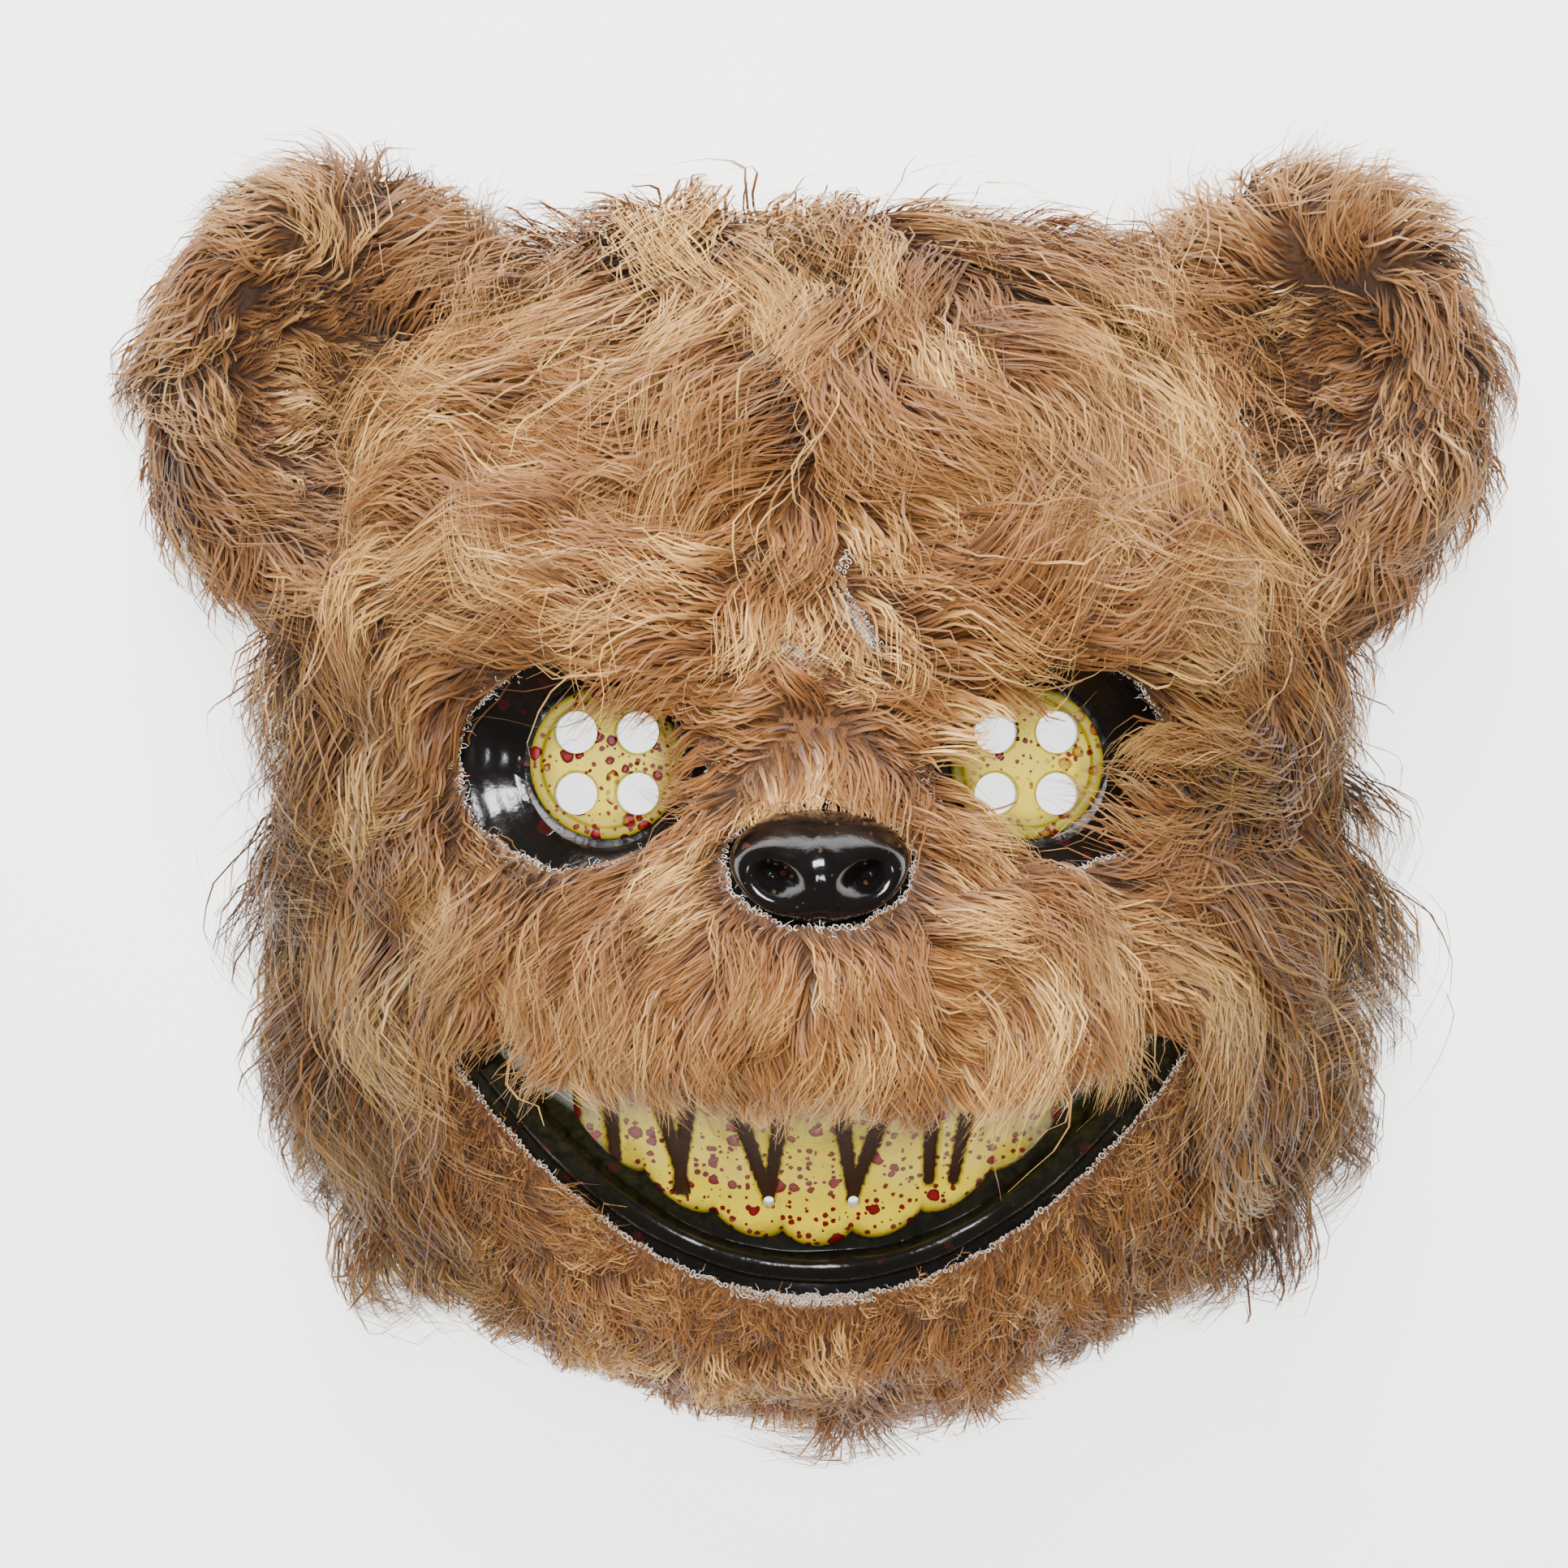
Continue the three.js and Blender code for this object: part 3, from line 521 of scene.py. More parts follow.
black_gloss, wire = finish("black moulded gloss")
place = place_of(wire)
mottle = noise(wire, place, 90, 4)
fine = noise(wire, place, 900, 3)
drops, _ = spatter(wire, place, 210, 0.3, 0.42)
mist = noise(wire, place, 420, 6, 0.7) * 2.6 - 0.95
mist = (noted(wire, "overspray") * mist).clamped() * 0.55
colour = mottle.blend((0.0015, 0.0013, 0.0013, 1), (0.007, 0.006, 0.005, 1))
colour = (drops * 0.6).blend(colour, srgb(0.22, 0.05, 0.05))
colour = mist.blend(colour, srgb(0.40, 0.38, 0.12))
eye_far = eye_distance(place.axes())
ridge = eye_far.maths("SINE", eye_far * 1700) * ((0.044 - eye_far) * 90).clamped()
ridge = ridge * ((eye_far - 0.018) * 900).clamped()
height = ridge * 0.1 + mottle * 1.3 + fine * 0.12 + drops * 0.25
seal(wire, {
    "Base Color": colour,
    "Roughness": 0.09 + mottle * 0.14 + mist * 0.4,
    "Coat Weight": 0.25,
    "Coat Roughness": 0.06,
    "Normal": height.relief(0.55, 0.0006),
})
dress(face_shell, black_gloss, "shell", "face_shell", crease=38)

# Button eyes: two round four-hole buttons, moulded in plastic, sunk in the pockets and painted
# a glossy yellow that darkens to the edge, with dark red drops flung over them. The holes are
# what the wearer sees through.
BUTTON_RADIUS = 16.4
BUTTON_THICKNESS = 3.6
BUTTON_RIM_WIDTH = 2.6
BUTTON_DISH = 1.2
BUTTON_SEAT = POCKET_FLOOR + 0.3


def arc(x, z, radius, start, end, steps):
    angle = np.radians(np.linspace(start, end, steps))
    return [(x + radius * math.cos(a), z + radius * math.sin(a)) for a in angle]


button_paint, wire = finish("yellow button paint")
place = place_of(wire)
axes = place.axes()
away = eye_distance(axes) / (BUTTON_RADIUS / 1000)
cloud = noise(wire, place, 160, 4)
crowd = noise(wire, place, 85, 2) + (axes * -200).clamped() * 0.18 - 0.03
big, big_edge = spatter(wire, place, 300, 0.82, 0.5)
small, _ = spatter(wire, place.vector("ADD", (0.31, 0.17, 0.05)), 640, 0.6, 0.42)
crowded = ((crowd - 0.42) * 9).clamped()
big, big_edge = big * crowded, big_edge * crowded
small = small * ((crowd - 0.3) * 6).clamped()
grime = ((away - 0.78 + cloud * 0.35) * 4.2).clamped()
# Painted shade: the sunk dish inside the rim and the walls of the holes are painted a darker yellow.
dish_painted_shade = ((axes.other("Z") - (BUTTON_SEAT + 2.9) / 1000) * -900).clamped()
colour = cloud.blend(srgb(0.82, 0.71, 0.03), srgb(0.92, 0.83, 0.12))
colour = (grime * 0.7).blend(colour, srgb(0.30, 0.29, 0.04))
colour = (dish_painted_shade * ((away - 1) * -30).clamped() * 0.25).blend(colour, srgb(0.62, 0.50, 0.12))
colour = big.blend(colour, srgb(0.46, 0.03, 0.04))
colour = (big_edge * 0.8).blend(colour, srgb(0.24, 0.01, 0.02))
colour = small.blend(colour, srgb(0.38, 0.03, 0.03))
height = big * 0.5 + big_edge * 0.9 + small * 0.6 + cloud * 0.3
seal(wire, {
    "Base Color": colour,
    "Roughness": 0.3 + cloud * 0.12 - big * 0.12,
    "Specular IOR Level": 0.35,
    "Normal": height.relief(0.5, 0.0004),
})

for side, name in ((-1, "button_eye_left"), (1, "button_eye_right")):
    top = BUTTON_SEAT + BUTTON_THICKNESS
    dish = top - BUTTON_DISH
    inner = BUTTON_RADIUS - BUTTON_RIM_WIDTH
    profile = [(0, BUTTON_SEAT), (BUTTON_RADIUS - 0.3, BUTTON_SEAT)]
    profile += arc(BUTTON_RADIUS - 0.3, BUTTON_SEAT + 0.3, 0.3, -90, 0, 3)
    profile += arc(BUTTON_RADIUS - 0.9, top - 0.9, 0.9, 0, 90, 6)
    profile += arc(inner + 0.6, top - 0.5, 0.5, 90, 180, 4)
    profile += arc(inner - 0.5, dish + 0.5, 0.5, 0, -90, 4)
    for share in (0.85, 0.7, 0.5, 0.3, 0.12, 0):
        profile.append((inner * share, dish + 0.35 * (1 - share * share)))
    button = lathe(name + "_disc", profile, side * EYE_SPREAD, EYE_LINE, 120)
    cutters = []
    for x, y in hole_spots(side):
        flare = [(0, BUTTON_SEAT - 1), (BUTTON_HOLE_RADIUS, BUTTON_SEAT - 1)]
        for wider, z in ((0, -0.5), (0.15, -0.1), (0.5, 0.2), (0.8, 0.6)):
            flare.append((BUTTON_HOLE_RADIUS + wider, dish + z))
        flare.append((0, dish + 0.6))
        cutters.append(lathe("hole", flare, x, y, 48))
    carve(button, *cutters)
    dress(button, button_paint, "eye_paint", name, crease=40)

# Nose: a squat hollow bulb of the same black plastic, moulded with two nostrils and a groove
# between them, and glued over the muzzle where the fur is cut out round it.
NOSE_LINE = 17
NOSE_HALF_WIDTH = 17.5
NOSE_HALF_HEIGHT = 11
NOSE_BULGE = 11
NOSTRIL_SPREAD = 9

rings, sides = 68, 120
tall = np.linspace(0, np.pi, rings + 2)[1:-1]
tall, about = np.meshgrid(tall, np.arange(sides) / sides * 2 * np.pi, indexing="ij")
ball = [np.sin(tall) * np.cos(about), np.sin(tall) * np.sin(about), -np.cos(tall)]
nose_ball = np.vstack([[[0, 0, -1]], np.stack(ball, -1).reshape(-1, 3), [[0, 0, 1]]])
nx, ny, nz = nose_ball.T
nose_x = nx * (1 + 0.12 * ny) * NOSE_HALF_WIDTH
nose_y = ny * NOSE_HALF_HEIGHT
front = np.clip(nz * 3, 0, 1)
side_x = np.abs(nose_x) - NOSTRIL_SPREAD
nostril = front * bump(side_x + 0.6, nose_y + 2.6, 4.6, 3.0, 26)
wing = bump(side_x, nose_y + 2.6, 7.0, 5.4, 26)
septum = bump(nose_x, nose_y + 6.0, 1.2, 5.0)
lift = front * (1.8 * wing + 1.5 * bump(nose_x, nose_y - 0.5, 3.4, 6) - 0.6 * septum)
nose_base = float(face_height(0.0, float(NOSE_LINE)))
slope = face_height(0.0 * nose_y, NOSE_LINE + nose_y) - nose_base
nose_points = np.stack([nose_x, nose_y, nz * NOSE_BULGE + 0.85 * slope], -1)
nose_out = unit(nose_ball / np.array([NOSE_HALF_WIDTH, NOSE_HALF_HEIGHT, NOSE_BULGE]))
nose_points = nose_points + nose_out * lift[:, None] + np.array([0, NOSE_LINE, nose_base])
nose_points[:, 2] -= 8 * nostril
nose_points[:, 1] += 1.5 * nostril
nose = made("nose_bulb", nose_points, turned_faces(rings, sides))
carve(nose, face_block("under_nose", 0.3))

nose_gloss, wire = finish("black nose gloss")
place = place_of(wire)
mottle = noise(wire, place, 260, 4)
drops, _ = spatter(wire, place, 420, 0.06, 0.45)
specks, _ = spatter(wire, place.vector("ADD", (0.2, 0.1, 0)), 900, 0.08, 0.45)
colour = mottle.blend((0.0015, 0.0013, 0.0013, 1), (0.006, 0.005, 0.0045, 1))
colour = (drops * 0.6).blend(colour, srgb(0.28, 0.10, 0.07))
colour = (specks * 0.4).blend(colour, srgb(0.38, 0.28, 0.17))
height = mottle * 0.5 + drops * 0.5 + noise(wire, place, 1400, 2) * 0.12
seal(wire, {
    "Base Color": colour,
    "Roughness": 0.08 + mottle * 0.1 + drops * 0.15,
    "Coat Weight": 0.25,
    "Coat Roughness": 0.06,
    "Normal": height.relief(0.5, 0.0004),
})
dress(nose, nose_gloss, "nose", "nose", crease=50)

# Teeth: one curved band moulded in plastic on the lower slope of the muzzle. Its lower edge is
# scalloped, slanted grooves part the teeth, two small holes go through, and a yellow paint
# fades to black at the gum, with dark red drops over it.
TEETH_HALF_WIDTH = 51
TEETH_LOW_LINE = -64.5
TEETH_SIDE_LIFT = 26
TEETH_THICKNESS = 5
TEETH_BULGE = 1.6
TOOTH_WIDTH = 14.6
SCALLOP_DEPTH = 3
GROOVE_WIDTH = 2.2
GROOVE_DEPTH = 2
TOOTH_HOLE_RADIUS = 1.2

# x and the slant are shares of a tooth's width, top and foot of the band's height.
GROOVES = [
    {"x": -2.95, "slant": 0.05, "top": 1, "foot": 0.55},
    {"x": -2.3, "slant": 0.4, "top": 1, "foot": 0.35},
    {"x": -1.75, "slant": -0.25, "top": 1, "foot": 0.35},
    {"x": -1.25, "slant": 0.55, "top": 1, "foot": 0.3},
    {"x": -0.45, "slant": -0.25, "top": 1, "foot": 0.3},
    {"x": 0.22, "slant": 0.3, "top": 1, "foot": 0.3},
    {"x": 1.0, "slant": -0.5, "top": 1, "foot": 0.3},
    {"x": 1.55, "slant": 0.05, "top": 1, "foot": 0.42},
    {"x": 2.15, "slant": -0.2, "top": 1, "foot": 0.42},
]
band_height = float(mouth_roof(np.float64(0)) - TEETH_LOW_LINE)


def tooth_edge(x):
    side = np.abs(x) / TEETH_HALF_WIDTH
    scallop = np.abs(np.cos(np.pi * x / TOOTH_WIDTH))
    arch = TEETH_LOW_LINE + TEETH_SIDE_LIFT * side * side
    return arch - SCALLOP_DEPTH * np.sqrt(scallop) + SCALLOP_DEPTH


def groove_foot(row):
    x = (row["x"] + row["slant"]) * TOOTH_WIDTH
    return x, TEETH_LOW_LINE + row["foot"] * band_height


def groove_share(x, y):
    """1 in the middle of a groove, 0 outside it, with a ragged edge."""
    deepest = np.zeros_like(x)
    ragged = 0.22 * np.sin(y * 2.3 + x) + 0.16 * np.sin(y * 5.1 - x * 2)
    for row in GROOVES:
        top = np.array([row["x"] * TOOTH_WIDTH, float(mouth_roof(0.0)) + TEETH_THICKNESS])
        reach = np.array(groove_foot(row)) - top
        down = ((x - top[0]) * reach[0] + (y - top[1]) * reach[1]) / reach.dot(reach)
        down = np.clip(down, 0, 1)
        aside = np.hypot(x - top[0] - down * reach[0], y - top[1] - down * reach[1])
        half = GROOVE_WIDTH / 2 * (1.95 - 0.8 * down) + ragged * 0.5
        deepest = np.maximum(deepest, np.clip(1.3 - aside / np.maximum(half, 0.25), 0, 1))
    return deepest


columns, rows = 260, 34
tx = np.linspace(-1, 1, columns + 1) * TEETH_HALF_WIDTH
tx, tv = np.meshgrid(tx, np.linspace(0, 1, rows + 1), indexing="ij")
ty = tooth_edge(tx) + (mouth_roof(tx) - tooth_edge(tx)) * tv
round_over = 1 - np.clip(1 - tv / 0.09, 0, 1) ** 2 * 0.5
end_over = 1 - np.clip((np.abs(tx) - 48.5) / 2.5, 0, 1) ** 2 * 0.6
tooth_round = np.cos(np.pi * tx / TOOTH_WIDTH) ** 2
thick = (TEETH_THICKNESS + TEETH_BULGE * tooth_round) * round_over * end_over
groove = groove_share(tx, ty)
t_seat = face_height(tx, ty) + 0.3
t_front = np.stack([tx, ty, t_seat + thick - GROOVE_DEPTH * np.minimum(groove * 1.4, 1)], -1)
t_back = np.stack([tx, ty, t_seat], -1)
count = (columns + 1) * (rows + 1)
tooth_faces = []
for i in range(columns):
    for k in range(rows):
        a = i * (rows + 1) + k
        b = a + rows + 1
        tooth_faces.append((a, b, b + 1, a + 1))
        tooth_faces.append((count + a + 1, count + b + 1, count + b, count + a))
    a, b = i * (rows + 1), (i + 1) * (rows + 1)
    tooth_faces.append((b, a, count + a, count + b))
    tooth_faces.append((a + rows, b + rows, count + b + rows, count + a + rows))
for k in range(rows):
    tooth_faces.append((k, k + 1, count + k + 1, count + k))
    a = columns * (rows + 1) + k
    tooth_faces.append((a + 1, a, count + a, count + a + 1))
teeth = made("teeth_band", np.vstack([t_front.reshape(-1, 3), t_back.reshape(-1, 3)]), tooth_faces)
for holed in (teeth, face_shell):
    pegs = []
    for row in (GROOVES[3], GROOVES[5]):
        x, y = groove_foot(row)
        pegs.append(peg(x, y - TOOTH_HOLE_RADIUS / 2, TOOTH_HOLE_RADIUS, 30, sides=24))
    carve(holed, *pegs)
tx, ty, _ = millimetres(teeth).T
note(teeth, "groove", groove_share(tx, ty))
up_band = (ty - tooth_edge(tx)) / (mouth_roof(tx) - tooth_edge(tx))
gum = np.clip((up_band - 0.55) * 1.6, 0, 1) + np.clip((np.abs(tx) - 33) / 18, 0, 1) * 0.8
note(teeth, "gum", gum + np.clip(0.16 - up_band, 0, 1) * 2.5)

tooth_paint, wire = finish("yellow tooth paint")
place = place_of(wire)
cloud = noise(wire, place, 150, 5)
fibre = noise(wire, place, 1100, 4, 0.7)
dark = (noted(wire, "groove") * 2.6 - 0.3 + (fibre - 0.5) * 1.1).clamped()
gum = ((noted(wire, "gum") + (cloud - 0.5) * 1.0 + (fibre - 0.5) * 0.5) * 1.1).clamped()
big, big_edge = spatter(wire, place, 240, 0.7, 0.44)
small, _ = spatter(wire, place.vector("ADD", (0.4, 0.1, 0.3)), 560, 0.65, 0.42)
colour = cloud.blend(srgb(0.76, 0.66, 0.03), srgb(0.87, 0.77, 0.10))
colour = gum.blend(colour, srgb(0.13, 0.12, 0.05))
colour = big.blend(colour, srgb(0.44, 0.03, 0.04))
colour = (big_edge * 0.8).blend(colour, srgb(0.24, 0.01, 0.02))
colour = small.blend(colour, srgb(0.36, 0.03, 0.03))
colour = dark.blend(colour, fibre.blend(srgb(0.10, 0.06, 0.03), srgb(0.24, 0.14, 0.08)))
height = big * 0.4 + small * 0.4 + cloud * 0.6 + fibre * dark * 1.2 + fibre * 0.1
seal(wire, {
    "Base Color": colour,
    "Roughness": 0.26 + cloud * 0.12 + dark * 0.45,
    "Specular IOR Level": 0.4,
    "Normal": height.relief(0.55, 0.0005),
})
dress(teeth, tooth_paint, "tooth_paint", "teeth", crease=45)

# Fur backing: a pale knitted cloth, cut to the face with openings for eyes, nose and mouth and
# glued down over the shell. It shows at the cut edges and where the pile is rubbed thin.
COVER_SEAT = 0.3
COVER_TOP = 2.3
CUT_MARGIN = 2.2
EYE_CUT_SPREAD = EYE_SPREAD + SOCKET_OUTSET * 0.6
NOSE_CUT_LINE = NOSE_LINE + 0.4
NOSE_CUT_HALF_WIDTH = NOSE_HALF_WIDTH + 1.4
NOSE_CUT_HALF_HEIGHT = NOSE_HALF_HEIGHT + 1.3

# x and y down the bald seam between the brows.
PARTING = np.array([(8, 84), (5, 79), (3, 74), (5, 70), (8, 66), (10, 62), (13, 59)], float)


def prism(name, outline, low=-20, high=160):
    outline = np.asarray(outline, float)
    n = len(outline)
    foot = np.column_stack([outline, np.full(n, low)])
    top = np.column_stack([outline, np.full(n, high)])
    faces = [tuple(range(n))[::-1], tuple(range(n, 2 * n))]
    faces += [(i, (i + 1) % n, n + (i + 1) % n, n + i) for i in range(n)]
    return made(name, np.vstack([foot, top]), faces)


def eye_outline(side, count=96):
    angle = np.arange(count) / count * 2 * np.pi
    ragged = 0.5 * np.sin(angle * 7 + side) + 0.3 * np.sin(angle * 17)
    x = EYE_CUT_SPREAD + (SOCKET_HALF_WIDTH + ragged) * np.cos(angle)
    y = EYE_LINE + (SOCKET_HALF_HEIGHT + CUT_MARGIN + ragged) * np.sin(angle)
    outline = np.column_stack([side * x, y])
    return outline if side > 0 else outline[::-1]


def nose_outline(count=96):
    angle = np.arange(count) / count * 2 * np.pi
    ragged = 0.35 * np.sin(angle * 9) + 0.25 * np.sin(angle * 16 + 1)
    x = (NOSE_CUT_HALF_WIDTH + ragged) * np.cos(angle)
    y = NOSE_CUT_LINE + (NOSE_CUT_HALF_HEIGHT + ragged) * np.sin(angle)
    return np.column_stack([x, y])


def mouth_outline(count=90):
    x = np.linspace(-1, 1, count) * MOUTH_HALF_WIDTH
    ragged = 0.35 * np.sin(x * 0.9) + 0.25 * np.sin(x * 2.1)
    lower = np.column_stack([x, mouth_floor(x) - CUT_MARGIN - ragged])
    upper = np.column_stack([x, mouth_roof(x) + CUT_MARGIN + ragged * 0.5])
    return np.vstack([lower, upper[::-1]])


fur_backing = face_wall("fur_backing", COVER_TOP - 0.8, COVER_SEAT, hem=2)
carve(
    fur_backing,
    prism("eye_cut", eye_outline(1)),
    prism("eye_cut", eye_outline(-1)),
    prism("nose_cut", nose_outline()),
    prism("mouth_cut", mouth_outline()),
)


def opening_gap(x, y):
    """How far outside the nearest opening a point lies, in millimetres, below 0 inside it."""
    eye_height = SOCKET_HALF_HEIGHT + CUT_MARGIN
    eye_gap = np.hypot((np.abs(x) - EYE_CUT_SPREAD) / SOCKET_HALF_WIDTH, (y - EYE_LINE) / eye_height)
    eye_gap = (eye_gap - 1) * eye_height
    nose_gap = np.hypot(x / NOSE_CUT_HALF_WIDTH, (y - NOSE_CUT_LINE) / NOSE_CUT_HALF_HEIGHT)
    nose_gap = (nose_gap - 1) * NOSE_CUT_HALF_HEIGHT
    mouth = np.maximum(mouth_floor(x) - CUT_MARGIN - y, y - mouth_roof(x) - CUT_MARGIN)
    mouth = np.maximum(mouth, np.abs(x) - MOUTH_HALF_WIDTH)
    return np.minimum(np.minimum(eye_gap, nose_gap), mouth)


def bald_share(x, y):
    """1 where the pile is gone: on the seam between the brows, under it and under the lip."""
    seam_x = np.interp(y, PARTING[::-1, 1], PARTING[::-1, 0])
    seam = bump(x - seam_x, y - 72, 1.9, 14) * 1.6
    patch = bump(x + 5, y - 60, 7, 2.4)
    worn = bump(x + 3, y - mouth_floor(x) + CUT_MARGIN + 1.2, 13, 1.2)
    return np.clip(seam + patch * 0.8 + worn * 0.8, 0, 1)


cloth_x, cloth_y, _ = millimetres(fur_backing).T
bare = np.clip(1 - opening_gap(cloth_x, cloth_y) / 0.7, 0, 1) * 0.2 + bald_share(cloth_x, cloth_y)
note(fur_backing, "bare", np.clip(bare, 0, 1))

knit_cloth, wire = finish("pale knit backing")
place = place_of(wire)
axes = place.axes()
wale = axes.maths("SINE", axes * 6200 + noise(wire, place, 300, 2) * 5)
course = axes.maths("SINE", axes.other("Y") * 5400 + noise(wire, place, 260, 2) * 5)
knit = (wale * course * 0.5 + 0.5).clamped()
streak = noise(wire, place, 700, 4, 0.7)
# Under the pile the cloth is painted in dark brown streaks, partly the colour of the hair's roots and
# partly painted shade between the hairs; the pale knit shows where it is bare.
under = streak.blend(srgb(0.30, 0.19, 0.11), srgb(0.52, 0.35, 0.21))
pale = knit.blend(srgb(0.55, 0.42, 0.31), srgb(0.90, 0.84, 0.76))
seal(wire, {
    "Base Color": (noted(wire, "bare") * 1.4 - 0.2 + (streak - 0.5) * 0.8).clamped().blend(under, pale),
    "Roughness": 0.92 - knit * 0.06,
    "Sheen Weight": 0.15,
    "Specular IOR Level": 0.25,
    "Normal": (knit + streak * 0.6).relief(0.7, 0.0004),
})
dress(fur_backing, knit_cloth, "fur", "fur_cover", crease=50)

# Long fur: golden brown artificial hair knitted into the backing, in locks that are combed
# over the brow, round the eyes and down the muzzle and cheeks. The hair under the lip is
# clipped short and frizzy.
FUR_SPOKES = 240
FUR_RINGS = 96

# Where the fur is combed to. x and y in millimetres about the cheek line, heading in degrees
# (0 to the right, 90 to the crown), pile the hair's length and lift its rise off the cloth.
COMBING = [
    # over the crown
    (-1, 173, -38, 30, 7), (40, 172, -30, 30, 7), (-40, 172, -48, 30, 7), (70, 160, -22, 26, 8),
    (-70, 160, 160, 26, 8), (96, 148, 15, 26, 8), (-96, 148, 145, 26, 8), (-1, 150, -66, 32, 8),
    (35, 150, -58, 32, 8), (-41, 150, -118, 32, 8), (-20, 150, -84, 34, 8),
    # forehead, down to the right of the middle and out to the left of it
    (-1, 125, -72, 34, 9), (25, 127, -58, 34, 9), (51, 126, -60, 34, 8), (79, 121, -75, 34, 8),
    (21, 106, -62, 34, 9), (41, 100, -68, 34, 8), (67, 92, -72, 32, 7), (-30, 131, -135, 34, 9),
    (-39, 116, 175, 34, 9), (-49, 102, 168, 34, 9), (-63, 95, 162, 32, 8), (-29, 105, -172, 34, 9),
    (-12, 136, -106, 36, 9), (-11, 118, -104, 36, 10), (-13, 102, -122, 30, 10),
    (-19, 90, 176, 24, 9), (-8, 86, -100, 13, 6), (4, 94, -72, 20, 7), (14, 90, -42, 22, 8),
    # brows
    (-12, 74, 178, 24, 8), (-26, 76, 160, 34, 10), (-48, 77, 150, 34, 10), (-65, 74, 150, 30, 8),
    (-26, 60, 178, 34, 10), (-43, 56, 180, 34, 10), (-60, 61, 182, 32, 9), (-69, 66, 195, 26, 7),
    (7, 76, 5, 22, 8), (23, 77, 14, 34, 10), (40, 77, 18, 34, 10), (62, 76, 18, 34, 9),
    (23, 63, 8, 34, 10), (40, 62, 5, 34, 10), (59, 61, 0, 32, 9), (18, 54, -8, 26, 8),
    (38, 54, 0, 28, 8), (57, 53, -3, 28, 8),
    # nose bridge
    (-3, 68, -118, 7, 3), (-8, 60, -145, 7, 3), (2, 58, -70, 8, 3), (10, 52, 10, 20, 8),
    (17, 46, -30, 20, 8), (12, 40, -75, 16, 6), (2, 46, 60, 14, 6), (0, 37, -80, 11, 3),
    (-18, 48, 170, 20, 8), (-22, 40, -140, 16, 7), (-20, 32, -110, 15, 5), (-10, 40, -100, 11, 3),
    # temples
    (-84, 51, -115, 32, 7), (-98, 66, -105, 34, 7), (-105, 91, -110, 32, 7), (-95, 110, -160, 30, 7),
    (-84, 126, 165, 30, 7), (83, 62, -25, 32, 7), (84, 44, 178, 26, 7), (82, 30, 165, 24, 7),
    (88, 84, -60, 32, 7), (105, 110, -80, 30, 7),
    # left cheek
    (-75, 14, -70, 24, 7), (-57, 12, -85, 26, 7), (-41, 18, -110, 22, 6), (-101, 1, -97, 38, 8),
    (-114, -23, -95, 38, 8), (-97, -37, -82, 36, 8), (-82, -10, -90, 38, 9), (-124, 11, -112, 36, 8),
    (-123, -49, -88, 30, 7), (-64, -6, -72, 36, 9), (-61, -26, -62, 34, 9),
    # muzzle
    (-50, -5, -105, 34, 8), (-40, -19, -112, 32, 8), (-30, -2, -125, 28, 8), (-24, 7, -130, 20, 6),
    (-13, -3, -100, 18, 5), (-2, -1, -90, 16, 4), (-2, -17, -90, 20, 5), (-17, -19, -105, 24, 7),
    (12, -2, -35, 18, 6), (22, -10, -25, 24, 8), (30, -19, -60, 28, 9), (28, -31, -85, 28, 8),
    (41, -34, -88, 28, 8), (40, -5, -55, 30, 9), (51, -20, -85, 34, 9),
    # right cheek
    (28, 18, -30, 20, 6), (41, 13, -12, 30, 8), (58, 14, -5, 34, 8), (76, 12, -18, 36, 8),
    (97, 20, -25, 34, 8), (120, 11, -45, 34, 8), (83, -8, -63, 40, 9), (108, -18, -62, 38, 8),
    (85, -33, -70, 40, 9), (115, -43, -76, 36, 8), (75, -45, -78, 34, 8),
    # jaw and chin, clipped short
    (-99, -60, -98, 28, 8), (107, -70, -74, 28, 8), (-64, -68, -105, 13, 5), (-43, -81, -97, 12, 5),
    (-19, -92, -92, 12, 5), (-1, -98, -90, 12, 5), (20, -92, -86, 12, 5), (45, -84, -78, 12, 5),
    (70, -73, -70, 14, 5), (-1, -112, -90, 10, 4), (-42, -104, -97, 10, 4), (43, -104, -82, 11, 4),
    (-76, -91, -112, 14, 6), (85, -93, -64, 14, 6), (12, -106, -95, 32, 7), (32, -104, -72, 30, 7),
]


def combed(x, y):
    """Heading (as a flat unit vector), pile and lift of the fur at each place."""
    table = np.array(COMBING, float)
    far = (x[:, None] - table[:, 0]) ** 2 + (y[:, None] - table[:, 1]) ** 2
    weight = 1 / (far + 12) ** 1.8
    weight /= weight.sum(1, keepdims=True)
    angle = np.radians(table[:, 2])
    flat = unit(np.column_stack([weight @ np.cos(angle), weight @ np.sin(angle)]))
    return flat, weight @ table[:, 3], weight @ table[:, 4]


def geometry_tree(name, result, asks):
    """A new geometry tree and its inputs by name. Each row of asks is a name, kind and value."""
    tree = bpy.data.node_groups.new(name, "GeometryNodeTree")
    for ask, kind, value in asks:
        kind = "NodeSocket" + kind
        socket = tree.interface.new_socket(name=ask, in_out="INPUT", socket_type=kind)
        if value is not None:
            socket.default_value = value
    tree.interface.new_socket(name=result, in_out="OUTPUT", socket_type="NodeSocketGeometry")
    wire = Wire(tree)
    source = wire.node("NodeGroupInput")
    return tree, wire, {ask: source.other(ask) for ask, kind, value in asks}


def grow(piece, tree, asks):
    """Runs a geometry tree on the piece and keeps what it makes."""
    modifier = piece.modifiers.new(tree.name, "NODES")
    modifier.node_group = tree
    for item in tree.interface.items_tree:
        if item.in_out == "INPUT" and item.name in asks:
            modifier[item.identifier] = asks[item.name]
    settle(piece)


